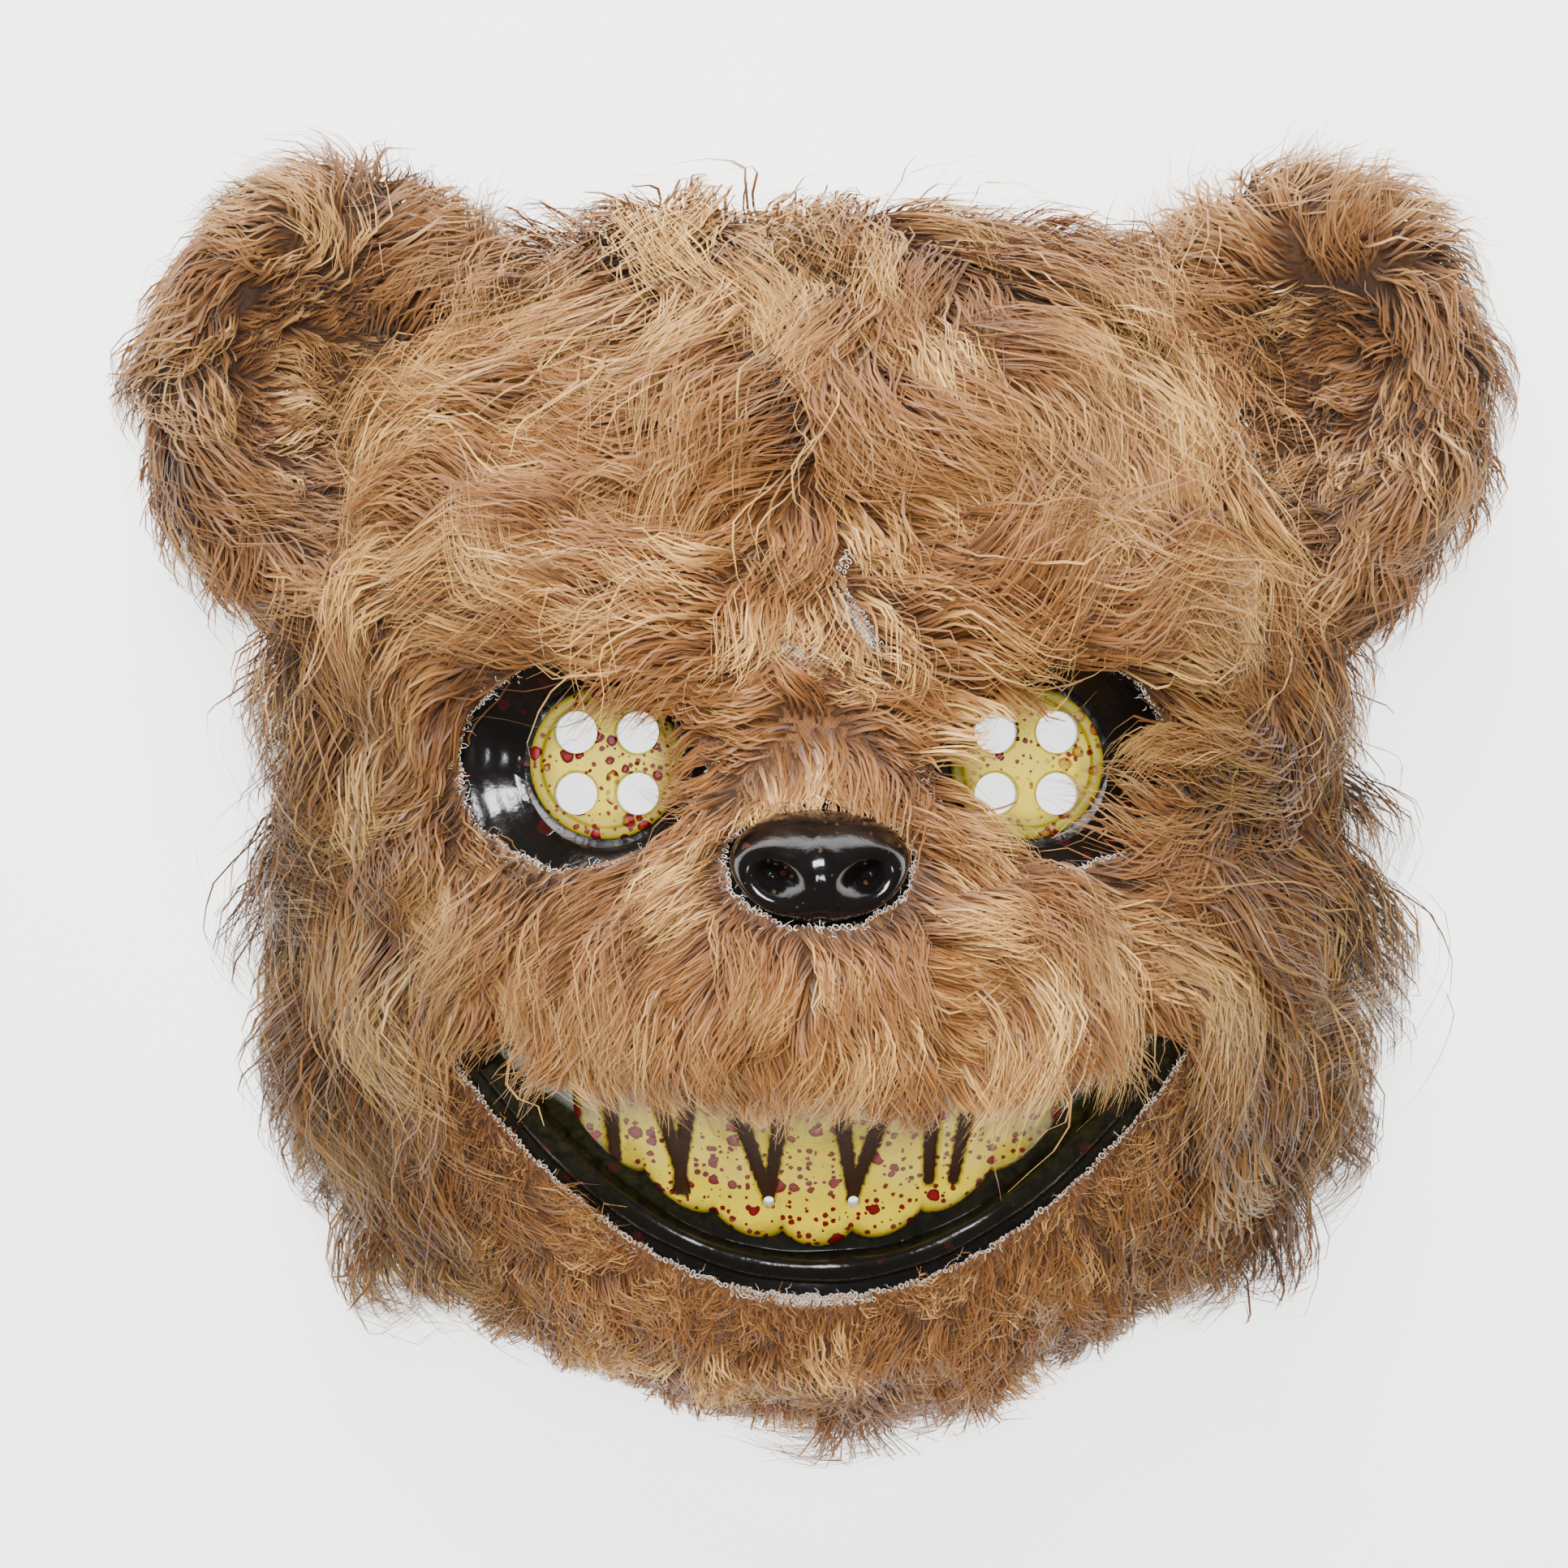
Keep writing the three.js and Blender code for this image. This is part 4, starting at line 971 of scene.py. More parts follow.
def fur_tree():
    """Strands on a skin that carries comb, pile, lift and cover. Two sizes of clump draw them
    together: tufts of a few strands, and locks of many tufts."""
    tree, wire, given = geometry_tree("fur strands", "Strands", [
        ("Skin", "Geometry", None),
        ("Strand Density", "Float", 500000.0),
        ("Tuft Spacing", "Float", 0.003),
        ("Lock Spacing", "Float", 0.010),
        ("Strand Width", "Float", 0.0004),
        ("Tuft Gather", "Float", 0.85),
        ("Lock Gather", "Float", 0.75),
        ("Frizz", "Float", 0.0015),
        ("Wave", "Float", 0.05),
        ("Hug", "Float", 4.0),
        ("Stray", "Float", 0.2),
        ("Joints", "Int", 7),
        ("Seed", "Int", 1),
        ("Finish", "Material", None),
    ])

    def field(name, kind="FLOAT"):
        return wire.node("GeometryNodeInputNamedAttribute", {"data_type": kind}, {"Name": name})

    def store(geometry, kind, values):
        for name, value in values.items():
            sockets = {"Geometry": geometry, "Name": name, "Value": value}
            settings = {"data_type": kind, "domain": "POINT"}
            geometry = wire.node("GeometryNodeStoreNamedAttribute", settings, sockets)
        return geometry

    def chance(low, high, index, seed):
        sockets = {2: low, 3: high, "ID": index, "Seed": seed}
        return wire.node("FunctionNodeRandomValue", {"data_type": "FLOAT"}, sockets, out=1)

    def aim(index, seed):
        sockets = {0: (-1, -1, -1), 1: (1, 1, 1), "ID": index, "Seed": seed}
        return wire.node("FunctionNodeRandomValue", {"data_type": "FLOAT_VECTOR"}, sockets)

    def pick(geometry, value, index):
        sockets = {"Geometry": geometry, "Value": value, "Index": index}
        settings = {"data_type": "FLOAT_VECTOR", "domain": "POINT"}
        return wire.node("GeometryNodeSampleIndex", settings, sockets)

    def nearest(geometry, place):
        sockets = {"Geometry": geometry, "Sample Position": place}
        return wire.node("GeometryNodeSampleNearest", {"domain": "POINT"}, sockets)

    position = wire.node("GeometryNodeInputPosition")
    own = wire.node("GeometryNodeInputIndex")

    def scattered(method, sockets):
        sockets = {"Mesh": given["Skin"], **sockets}
        return wire.node("GeometryNodeDistributePointsOnFaces", {"distribute_method": method}, sockets)

    def centres(spacing, seed):
        most = 2 / (spacing * spacing)
        return scattered("POISSON", {"Distance Min": spacing, "Density Max": most, "Seed": seed})

    density = given["Strand Density"] * field("cover")
    roots = scattered("RANDOM", {"Density": density, "Seed": given["Seed"]})
    out = roots.other("Normal")
    tufts = centres(given["Tuft Spacing"], given["Seed"] + 11)
    locks = centres(given["Lock Spacing"], given["Seed"] + 23)
    tuft = nearest(tufts, position)
    tuft_root = pick(tufts, position, tuft)
    lock = nearest(locks, tuft_root)
    lock_root = pick(locks, position, lock)
    comb = field("comb", "FLOAT_VECTOR")
    lean = pick(tufts, comb, tuft).vector("SCALE", scale=0.45)
    lean = lean.plus(pick(locks, comb, lock), 0.55).plus(aim(lock, 3), given["Stray"])
    lean = lean.plus(aim(tuft, 4), given["Stray"] * 0.5).plus(aim(own, 5), given["Stray"] * 0.45)
    off_skin = lean.vector("DOT_PRODUCT", out).other("Value")
    flat = lean.vector("SUBTRACT", out.vector("SCALE", scale=off_skin)).vector("NORMALIZE")
    length = field("pile") * chance(0.82, 1.12, lock, 6) * chance(0.62, 1.08, own, 7)
    rise = field("lift") * chance(0.4, 1.5, lock, 8) * chance(0.3, 1.15, own, 9)
    tone = chance(0, 0.3, own, 10) + chance(0, 0.3, tuft, 12) + chance(0, 0.4, lock, 13)
    points = store(roots, "FLOAT_VECTOR", {
        "from_root": position,
        "to_tuft": tuft_root.vector("SUBTRACT", position),
        "to_lock": lock_root.vector("SUBTRACT", tuft_root),
        "along": flat,
        "out": out,
    })
    points = store(points, "FLOAT", {
        "length": length,
        "rise": rise,
        "tone": tone,
        "swing": chance(0, 6.28, lock, 14) + chance(0, 1.3, tuft, 20) + chance(0, 0.6, own, 15),
        "bend": chance(-0.42, 0.42, lock, 16) + chance(-0.16, 0.16, tuft, 21),
        "roll": chance(-0.75, 0.75, own, 17),
        "thick": chance(0.7, 1.3, own, 18),
        "salt": chance(0, 400, own, 19),
    })

    blade = {"Size X": 2.0, "Size Y": 1.0, "Vertices X": 2, "Vertices Y": given["Joints"]}
    blade = wire.node("GeometryNodeMeshGrid", {}, blade)
    spot = position.axes()
    blade = store(blade, "FLOAT", {"tip": spot.other("Y") + 0.5, "aside": spot})
    strands = wire.node("GeometryNodeInstanceOnPoints", {}, {"Points": points, "Instance": blade})
    strands = wire.node("GeometryNodeRealizeInstances", {}, {"Geometry": strands})

    tip = field("tip")
    along = field("along", "FLOAT_VECTOR")
    out = field("out", "FLOAT_VECTOR")
    length = field("length")
    across = along.vector("CROSS_PRODUCT", out)
    gather = tip**1.25
    path = field("from_root", "FLOAT_VECTOR")
    path = path.plus(field("to_tuft", "FLOAT_VECTOR"), gather * given["Tuft Gather"])
    path = path.plus(field("to_lock", "FLOAT_VECTOR"), gather * tip * given["Lock Gather"])
    arch = tip.maths("SINE", tip * 2.4) * field("rise") - tip * tip * length * length * given["Hug"]
    sway = tip.maths("SINE", tip * 7.0 + field("swing")) * given["Wave"] * tip
    sway = sway + field("bend") * tip * tip
    path = path.plus(along, length * tip).plus(out, arch).plus(across, sway * length)
    grain = wire.node("ShaderNodeCombineXYZ", {}, {"X": field("salt"), "Y": tip * 4.2, "Z": field("swing")})
    ruffle = noise(wire, grain, 1.0, 1.0, out="Color").vector("SUBTRACT", (0.5, 0.5, 0.5))
    path = path.plus(ruffle, given["Frizz"] * 2 * tip)
    turn = field("roll")
    edge = across.vector("SCALE", scale=turn.maths("COSINE", turn)).plus(out, turn.maths("SINE", turn))
    half = field("aside") * 0.5 * given["Strand Width"] * field("thick") * (1 - tip**3 * 0.85)
    spot = path.plus(edge, half).axes()
    above_floor = spot.maths("MAXIMUM", spot.other("Z"), 0.0008)
    path = wire.node("ShaderNodeCombineXYZ", {}, {"X": spot, "Y": spot.other("Y"), "Z": above_floor})
    strands = wire.node("GeometryNodeSetPosition", {}, {"Geometry": strands, "Position": path})
    strands = wire.node("GeometryNodeSetShadeSmooth", {}, {"Geometry": strands})
    strands = wire.node("GeometryNodeSetMaterial", {}, {"Geometry": strands, "Material": given["Finish"]})
    wire.node("NodeGroupOutput", {}, {"Strands": strands})
    return tree


FUR_STRANDS = fur_tree()
PAINTED_BY = ("tip", "tone", "aside", "material_index")


def furred(skin, count, comb, pile, lift, cover, material, asks):
    """Fur of about so many strands in place of a skin. Pile and lift are in millimetres."""
    note(skin, "comb", comb)
    note(skin, "pile", pile / 1000)
    note(skin, "lift", lift / 1000)
    note(skin, "cover", cover)
    shares = np.zeros(len(skin.data.vertices), np.float32)
    skin.data.attributes["cover"].data.foreach_get("value", shares)
    area = sum(f.area * np.mean([shares[v] for v in f.vertices]) for f in skin.data.polygons)
    grow(skin, FUR_STRANDS, {"Strand Density": count / max(area, 1e-9), "Finish": material, **asks})
    for name in [attribute.name for attribute in skin.data.attributes]:
        attribute = skin.data.attributes[name]
        if not (attribute.is_required or name in PAINTED_BY or name.startswith(".")):
            skin.data.attributes.remove(attribute)


def fur_finish(name, root, middle, tip_colour):
    """Each blade is painted as a few hairs side by side, with gaps between them to the tip."""
    material, wire = finish(name)
    tip, tone = noted(wire, "tip"), noted(wire, "tone")
    place = place_of(wire)
    patch = noise(wire, place, 26, 2)
    axes = place.axes()
    # Painted shade: out on the cheeks, below the eyes, the hair's colour is darkened by up to a half, where
    # the sides of the face turn from the lamps.
    side = ((axes.maths("ABSOLUTE", axes) - 0.046) * 22).clamped()
    side = side * ((cheek_line + 0.08 - axes.other("Y")) * 22).clamped()
    strips = {"X": noted(wire, "aside") * 2.3 + tone * 90, "Y": tip * 1.4 + tone * 31}
    strips = wire.node("ShaderNodeCombineXYZ", {}, strips)
    strip = (noise(wire, strips, 1.0, 1) - 0.5) * 3.4 + 0.5
    hair = strip.clamped()
    colour = (tip * 2.4 - 0.1).clamped().blend(root, middle)
    colour = ((tip - 0.4) * 1.2 + (tone - 0.55) * 1.6).clamped().blend(colour, tip_colour)
    # shade is each strand's own tone, with the painted shade on the cheeks.
    shade = (0.5 + tone * 0.55 + (patch - 0.5) * 0.45 + hair * 0.38) * (1 - side * 0.5)
    gap = ((((tip - 0.15) * 1.8).clamped() * 1.1 - 0.66 - strip) * 40).clamped()
    seal(wire, {
        "Base Color": colour.vector("SCALE", scale=shade),
        "Roughness": 0.42 + (1 - tone) * 0.2,
        "Specular IOR Level": 0.45,
        "Sheen Weight": 0.12,
        "Sheen Roughness": 0.5,
        "Alpha": 1 - gap,
    })
    return material


golden_fur = fur_finish(
    "golden brown fur",
    srgb(0.27, 0.16, 0.08),
    srgb(0.55, 0.35, 0.165),
    srgb(0.92, 0.735, 0.425),
)

# Where the ears sit on the cover and leave it bare, in millimetres.
EAR_SEAT = {"x": 113, "y": 118, "half_width": 36, "half_height": 50}


def fringe_reach(x, y):
    """How far the hair may hang over the edge of an opening, in millimetres."""
    between_eyes = (np.abs(x) < 38) & (y > NOSE_LINE)
    over_teeth = (np.abs(x) < 60) & (y < NOSE_LINE - 14)
    past_right_eye = (x > 58) & (np.abs(y - EYE_LINE) < 18)
    reach = np.where(y > EYE_LINE + 12, 9.0, np.where(between_eyes, 8.0, 1.5))
    reach = np.where(np.hypot(x / 24, (y - NOSE_LINE) / 18) < 1, 1.0, reach)
    reach = np.where(over_teeth, 6.5, reach)
    reach = np.where(y < mouth_floor(x), 0.5, reach)
    return np.where(past_right_eye, 10.5, reach)


def cut_short(pile, x, y, heading):
    """Trims the hair that would hang too far into an opening, and the hair under the lip."""
    reach = fringe_reach(x, y)
    for step in np.arange(1.5, 42, 0.75):
        hung = opening_gap(x + heading[:, 0] * step, y + heading[:, 1] * step) < -reach
        pile = np.where(hung & (pile > step), step, pile)
    under_lip = (y < mouth_floor(x)) & (np.abs(x) < MOUTH_HALF_WIDTH)
    clipped = np.minimum(pile, 4.5 + 0.9 * np.maximum(opening_gap(x, y), 0))
    return np.where(under_lip, clipped, pile)


sheet_points = face_sheet(COVER_TOP - 0.3, FUR_SPOKES, FUR_RINGS)
sheet_quads = sheet_faces(FUR_SPOKES, FUR_RINGS)
sheet_normals = face_normal(*face_grid(FUR_SPOKES, FUR_RINGS))
sx, sy, sz = sheet_points.T
sheet_rim = rim_share(sx, sy)
flat, sheet_pile, sheet_lift = combed(sx, sy)
over_edge = np.clip((sheet_rim - 0.78) / 0.16, 0, 1) * np.where(sy > 0, 0.6, -0.5)
toward = np.column_stack([flat, over_edge])
toward = unit(toward - sheet_normals * (toward * sheet_normals).sum(1)[:, None])
ear_x = (np.abs(sx) - EAR_SEAT["x"]) / EAR_SEAT["half_width"]
ear_y = (sy - EAR_SEAT["y"]) / EAR_SEAT["half_height"]
sheet_cover = np.clip(opening_gap(sx, sy) / 0.9 + 0.3, 0, 1)
sheet_cover *= 1 - 0.94 * bald_share(sx, sy)
sheet_cover *= np.clip((np.hypot(ear_x, ear_y) - 0.72) * 6, 0, 1)
sheet_cover *= np.clip((sz - 2.2) / 2, 0, 1)
sheet_pile = cut_short(sheet_pile, sx, sy, flat)
sheet_lift = sheet_lift * np.clip(sheet_pile / 16, 0.3, 1)
at_rim = np.where(np.abs(sy - 10) < 80, 0.9, 0.3) * np.clip((sheet_rim - 0.86) / 0.12, 0, 1)
sheet_lift = sheet_lift * (1 + at_rim)


def part_of(points, faces):
    """Which of the points some of the faces use, and these faces renumbered to them."""
    used = np.unique(np.concatenate([np.array(f) for f in faces]))
    renumber = {int(v): i for i, v in enumerate(used)}
    return used, [[renumber[int(v)] for v in f] for f in faces]


# How many strands each patch of the fur cover has, and how they clump. Tuft, lock, width and
# frizz are millimetres.
PATCH_COLUMNS = (
    "name", "strands", "tuft", "lock", "width", "frizz", "wave", "stray", "gather", "joints"
)
FUR_PATCHES = [
    ("fur_crown", 11800, 2.8, 12, 0.62, 1.0, 0.17, 0.26, 0.8, 7),
    ("fur_brow", 11800, 2.8, 11, 0.58, 1.0, 0.17, 0.24, 0.8, 7),
    ("fur_cheek_left", 6900, 2.8, 12, 0.62, 1.2, 0.22, 0.3, 0.84, 7),
    ("fur_cheek_right", 6900, 2.8, 12, 0.62, 1.2, 0.22, 0.3, 0.84, 7),
    ("fur_muzzle", 10200, 2.2, 9, 0.46, 1.3, 0.12, 0.28, 0.66, 6),
    ("fur_chin", 11500, 3.0, 9, 0.4, 3.4, 0.24, 0.8, 0.3, 5),
]
face_middle = np.array([sheet_points[list(f)].mean(0) for f in sheet_quads])
fx, fy = face_middle[:, 0], face_middle[:, 1]
jaw_edge = -58 - (np.abs(fx) - MOUTH_HALF_WIDTH) * 0.4
chin_edge = np.where(np.abs(fx) < MOUTH_HALF_WIDTH, mouth_roof(fx) - 4, jaw_edge)
region = np.select([fy > 96, fy > 30, fy < chin_edge, fx < -52, fx > 52], [0, 1, 5, 2, 3], 4)

for number, row in enumerate(FUR_PATCHES):
    patch = dict(zip(PATCH_COLUMNS, row))
    used, faces = part_of(sheet_points, [f for f, r in zip(sheet_quads, region) if r == number])
    skin = made(patch["name"], sheet_points[used], faces)
    asks = {
        "Tuft Spacing": patch["tuft"] / 1000,
        "Lock Spacing": patch["lock"] / 1000,
        "Strand Width": patch["width"] / 1000,
        "Frizz": patch["frizz"] / 1000,
        "Wave": patch["wave"],
        "Stray": patch["stray"],
        "Tuft Gather": patch["gather"],
        "Lock Gather": patch["gather"] * 0.8,
        "Joints": patch["joints"],
        "Seed": number + 1,
    }
    lie = toward[used], sheet_pile[used], sheet_lift[used], sheet_cover[used]
    furred(skin, patch["strands"], *lie, golden_fur, asks)
    dress(skin, golden_fur, "fur", "fur_cover")

# Wisps: the longest hairs of the same fur, which have slipped out of their locks and stand up
# singly over the pile of the forehead, brows and cheeks.
WISP_STRANDS = 800

wisps = made("fur_wisps", sheet_points, sheet_quads)
wisp_cover = sheet_cover * np.clip((sheet_pile - 20) / 8, 0, 1)
furred(wisps, WISP_STRANDS, toward, sheet_pile * 1.45, sheet_lift * 1.4, wisp_cover, golden_fur, {
    "Tuft Spacing": 0.012,
    "Lock Spacing": 0.03,
    "Strand Width": 0.0006,
    "Tuft Gather": 0.95,
    "Lock Gather": 0.1,
    "Frizz": 0.004,
    "Wave": 0.16,
    "Hug": 2.0,
    "Stray": 0.35,
    "Joints": 11,
    "Seed": 31,
})
dress(wisps, golden_fur, "fur", "fur_cover")

# Cut edges: where the cloth is cut for the eyes, nose and mouth, and along a parting between
# the brows, the knitting comes loose in small pale loops and frayed threads.
pale_thread, wire = finish("pale knitting thread")
place = place_of(wire)
twist = noise(wire, place, 1500, 2)
colour = twist.blend(srgb(0.82, 0.76, 0.68), srgb(0.97, 0.95, 0.92))
seal(wire, {
    "Base Color": colour,
    "Roughness": 0.8 + twist * 0.1,
    "Specular IOR Level": 0.3,
    "Sheen Weight": 0.1,
})


def loop_tree():
    """Small loops of thread in a row along an edge."""
    tree, wire, given = geometry_tree("knit loops", "Loops", [
        ("Edge", "Geometry", None),
        ("Spacing", "Float", 0.0013),
        ("Loop Radius", "Float", 0.0005),
        ("Thread Radius", "Float", 0.00013),
        ("Seed", "Int", 1),
        ("Finish", "Material", None),
    ])

    def ring(corners, radius):
        sockets = {"Resolution": corners, "Radius": radius}
        return wire.node("GeometryNodeCurvePrimitiveCircle", {}, sockets)

    def between(low, high, seed):
        sockets = {0: low, 1: high, "Seed": seed}
        return wire.node("FunctionNodeRandomValue", {"data_type": "FLOAT_VECTOR"}, sockets)

    line = wire.node("GeometryNodeMeshToCurve", {}, {"Mesh": given["Edge"]})
    spaced = {"Curve": line, "Length": given["Spacing"]}
    line = wire.node("GeometryNodeResampleCurve", {"mode": "LENGTH"}, spaced)
    bend, thread = ring(6, given["Loop Radius"]), ring(3, given["Thread Radius"])
    loop = wire.node("GeometryNodeCurveToMesh", {}, {"Curve": bend, "Profile Curve": thread})
    turn = between((-0.8, -0.8, -3.14), (0.8, 0.8, 3.14), given["Seed"])
    size = between((0.5, 0.7, 1.0), (1.1, 1.6, 1.0), given["Seed"] + 1)
    loops = {"Points": line, "Instance": loop, "Rotation": turn, "Scale": size}
    loops = wire.node("GeometryNodeInstanceOnPoints", {}, loops)
    loops = wire.node("GeometryNodeRealizeInstances", {}, {"Geometry": loops})
    loops = wire.node("GeometryNodeSetMaterial", {}, {"Geometry": loops, "Material": given["Finish"]})
    wire.node("NodeGroupOutput", {}, {"Loops": loops})
    return tree


under_brow = np.array([(-14, 62), (-9, 60), (-4, 60.5), (2, 59)], float)
lip_x = np.linspace(-18, 12, 12)
under_lip = np.column_stack([lip_x, mouth_floor(lip_x) - CUT_MARGIN - 1.5])
# The outlines are closed. The rest are open rows, of which the parting stands up off the cloth.
edge_lines = [(eye_outline(1), -0.2, True), (eye_outline(-1), -0.2, True)]
edge_lines += [(nose_outline(), -0.2, True), (mouth_outline(), -0.2, True)]
edge_lines += [(PARTING, 2.0, False), (PARTING + [1.6, 0.4], 2.0, False)]
edge_lines += [(under_brow, -0.2, False), (under_lip, -0.2, False)]
edge_points, edge_pairs = [], []
for line, stand, closed in edge_lines:
    start = len(edge_points)
    height = face_height(line[:, 0], line[:, 1]) + COVER_TOP + stand
    edge_points += np.column_stack([line, height]).tolist()
    edge_pairs += [(start + i, start + i + 1) for i in range(len(line) - 1)]
    if closed:
        edge_pairs.append((start + len(line) - 1, start))
knit_loops = made("knit_loops", edge_points, [], edge_pairs)
grow(knit_loops, loop_tree(), {"Finish": pale_thread, "Seed": 5})
dress(knit_loops, pale_thread, "fur", "fur_cover")

THREAD_STRANDS = 800
THREAD_PILE = 2.1
THREAD_LIFT = 0.9
near_edge = [f for f, m in zip(sheet_quads, face_middle) if -0.8 < opening_gap(m[0], m[1]) < 2.6]
used, faces = part_of(sheet_points, near_edge)
fray = made("frayed_threads", sheet_points[used], faces)
ex, ey, _ = sheet_points[used].T
pull_x = opening_gap(ex - 0.5, ey) - opening_gap(ex + 0.5, ey)
pull_y = opening_gap(ex, ey - 0.5) - opening_gap(ex, ey + 0.5)
inward = unit(np.column_stack([pull_x, pull_y, np.zeros(len(used))]) + 1e-6)
pile, lift = np.full(len(used), THREAD_PILE), np.full(len(used), THREAD_LIFT)
furred(fray, THREAD_STRANDS, inward, pile, lift, np.ones(len(used)), pale_thread, {
    "Tuft Spacing": 0.002,
    "Lock Spacing": 0.006,
    "Strand Width": 0.00013,
    "Tuft Gather": 0.3,
    "Lock Gather": 0.1,
    "Frizz": 0.0024,
    "Wave": 0.2,
    "Stray": 1.1,
    "Joints": 5,
    "Seed": 41,
})
dress(fray, pale_thread, "fur", "fur_cover")

# Ears: two padded cups of fur cloth, sewn on at the upper corners. Each has a thick rolled rim
# with long hair and a darker hollow.
EAR_SPREAD = 108
EAR_LINE = 118
EAR_HALF_WIDTH = 36
EAR_HALF_HEIGHT = 50
EAR_FOOT = 8
EAR_DEPTH = 40
EAR_CUP_OUTSET = 10
EAR_INNER_SINK = 0.55
EAR_SIDES = 80
EAR_STRANDS = 6800

# reach is the share of the way to the ear's edge, rise of its depth.
EAR_PROFILE = [
    {"reach": 0.0, "rise": 0.42},
    {"reach": 0.2, "rise": 0.42},
    {"reach": 0.4, "rise": 0.56},
    {"reach": 0.56, "rise": 0.9},
    {"reach": 0.76, "rise": 1.0},
    {"reach": 0.94, "rise": 0.8},
    {"reach": 1.0, "rise": 0.5},
    {"reach": 0.8, "rise": 0.12},
    {"reach": 0.4, "rise": 0.0},
    {"reach": 0.0, "rise": 0.0},
]


def ear_point(side, angle, reach, rise):
    shift = EAR_CUP_OUTSET * (1 - reach)
    inward = (1 - np.cos(angle)) / 2
    x = EAR_SPREAD + shift + EAR_HALF_WIDTH * reach * np.cos(angle)
    y = EAR_LINE + EAR_HALF_HEIGHT * reach * np.sin(angle)
    z = EAR_FOOT + EAR_DEPTH * rise * (1 - EAR_INNER_SINK * inward)
    return np.stack([side * x, y, z], -1)


def smoothed(table, steps):
    """A smooth run through the rows of a table, by cubic pieces between neighbours."""
    table = np.asarray(table, float)
    whole = []
    for i in range(len(table) - 1):
        p0, p1 = table[max(i - 1, 0)], table[i]
        p2, p3 = table[i + 1], table[min(i + 2, len(table) - 1)]
        square = 2 * p0 - 5 * p1 + 4 * p2 - p3
        cube = 3 * p1 - p0 - 3 * p2 + p3
        for t in np.arange(steps) / steps:
            whole.append(0.5 * (2 * p1 + (p2 - p0) * t + square * t * t + cube * t**3))
    whole.append(table[-1])
    return np.array(whole)


ear_fur = fur_finish(
    "brown ear fur",
    srgb(0.25, 0.155, 0.085),
    srgb(0.53, 0.355, 0.20),
    srgb(0.84, 0.67, 0.42),
)
ear_cloth, wire = finish("brown ear cloth")
place = place_of(wire)
streak = noise(wire, place, 500, 4, 0.7)
tuftiness = noise(wire, place, 90, 3)
colour = streak.blend(srgb(0.15, 0.09, 0.05), srgb(0.38, 0.26, 0.17))
colour = (tuftiness * 0.5).blend(colour, srgb(0.12, 0.07, 0.04))
seal(wire, {
    "Base Color": colour,
    "Roughness": 0.85 + streak * 0.1,
    "Specular IOR Level": 0.2,
    "Sheen Weight": 0.2,
    "Normal": streak.relief(0.8, 0.0008),
})

for side, name, number in ((-1, "ear_left", 21), (1, "ear_right", 22)):
    profile = smoothed([(row["reach"], row["rise"]) for row in EAR_PROFILE], 5)
    profile[:, 0] = np.maximum(profile[:, 0], 0)
    around = EAR_SIDES
    angle = np.arange(around) / around * 2 * np.pi
    rings = [ear_point(side, angle, reach, rise) for reach, rise in profile[1:-1]]
    ends = [[ear_point(side, np.pi / 2, 0, EAR_PROFILE[i]["rise"])] for i in (0, -1)]
    points = np.vstack([ends[0], *rings, ends[1]])
    faces = []
    for s in range(around):
        n = (s + 1) % around
        faces.append((0, 1 + s, 1 + n))
        for r in range(len(rings) - 1):
            a = 1 + r * around
            faces.append((a + s, a + around + s, a + around + n, a + n))
        a = 1 + (len(rings) - 1) * around
        faces.append((a + n, a + s, len(points) - 1))
    if side < 0:
        faces = [f[::-1] for f in faces]
    pad = made(name + "_pad", points, faces)
    carve(pad, face_block("under_ear", COVER_TOP + 0.3))
    dress(pad, ear_cloth, "ear_fur", name, crease=60)

    last = len(profile) - 1
    reach = np.concatenate([[0], np.repeat(profile[1:-1, 0], around), [0]])
    ring = np.concatenate([[0], np.repeat(np.arange(1, last), around), [last]]) / last
    where = np.concatenate([[0], np.tile(angle, len(rings)), [0]])
    flat = np.zeros(len(where))
    outward = np.column_stack([side * np.cos(where), np.sin(where), flat])
    downward = np.column_stack([side * np.sin(where), -np.cos(where), flat])
    downward *= np.sign(np.cos(where) + 0.3)[:, None]
    inward = np.array([-side, -0.3, 0])
    rim = np.clip((reach - 0.45) * 4, 0, 1)
    headside = np.clip(-np.cos(where) * 1.6, 0, 1) * np.clip(np.sin(where) * 2 + 0.6, 0, 1)
    pile = 10 + 11 * rim + 8 * headside + 7 * rim * np.clip(-np.sin(where), 0, 1)
    lift = 4 + 3 * rim
    rim, headside = rim[:, None], headside[:, None]
    comb = rim * (0.45 * outward + 0.85 * downward) + (1 - rim) * (inward + 0.4 * outward)
    comb = unit((1 - headside) * unit(comb) + headside * np.array([-side, 0.35, 0]))
    skin = made(name + "_hair", points, faces)
    ear_x, ear_y, ear_z = points.T
    gap = ear_z - (face_height(ear_x, ear_y) + 4)
    outside = np.clip((rim_share(ear_x, ear_y) - 1.03) * 40, 0, 1)
    cover = np.clip(np.maximum(outside, np.clip(gap / 3, 0, 1)), 0, 1)
    cover *= np.where(ring > 0.86, 0.35, 1)
    furred(skin, EAR_STRANDS, comb, pile, lift, cover, ear_fur, {
        "Tuft Spacing": 0.003,
        "Lock Spacing": 0.010,
        "Strand Width": 0.0006,
        "Tuft Gather": 0.7,
        "Lock Gather": 0.6,
        "Frizz": 0.0022,
        "Wave": 0.16,
        "Hug": 9.0,
        "Stray": 0.42,
        "Joints": 6,
        "Seed": number,
    })
    dress(skin, ear_fur, "ear_fur", name)

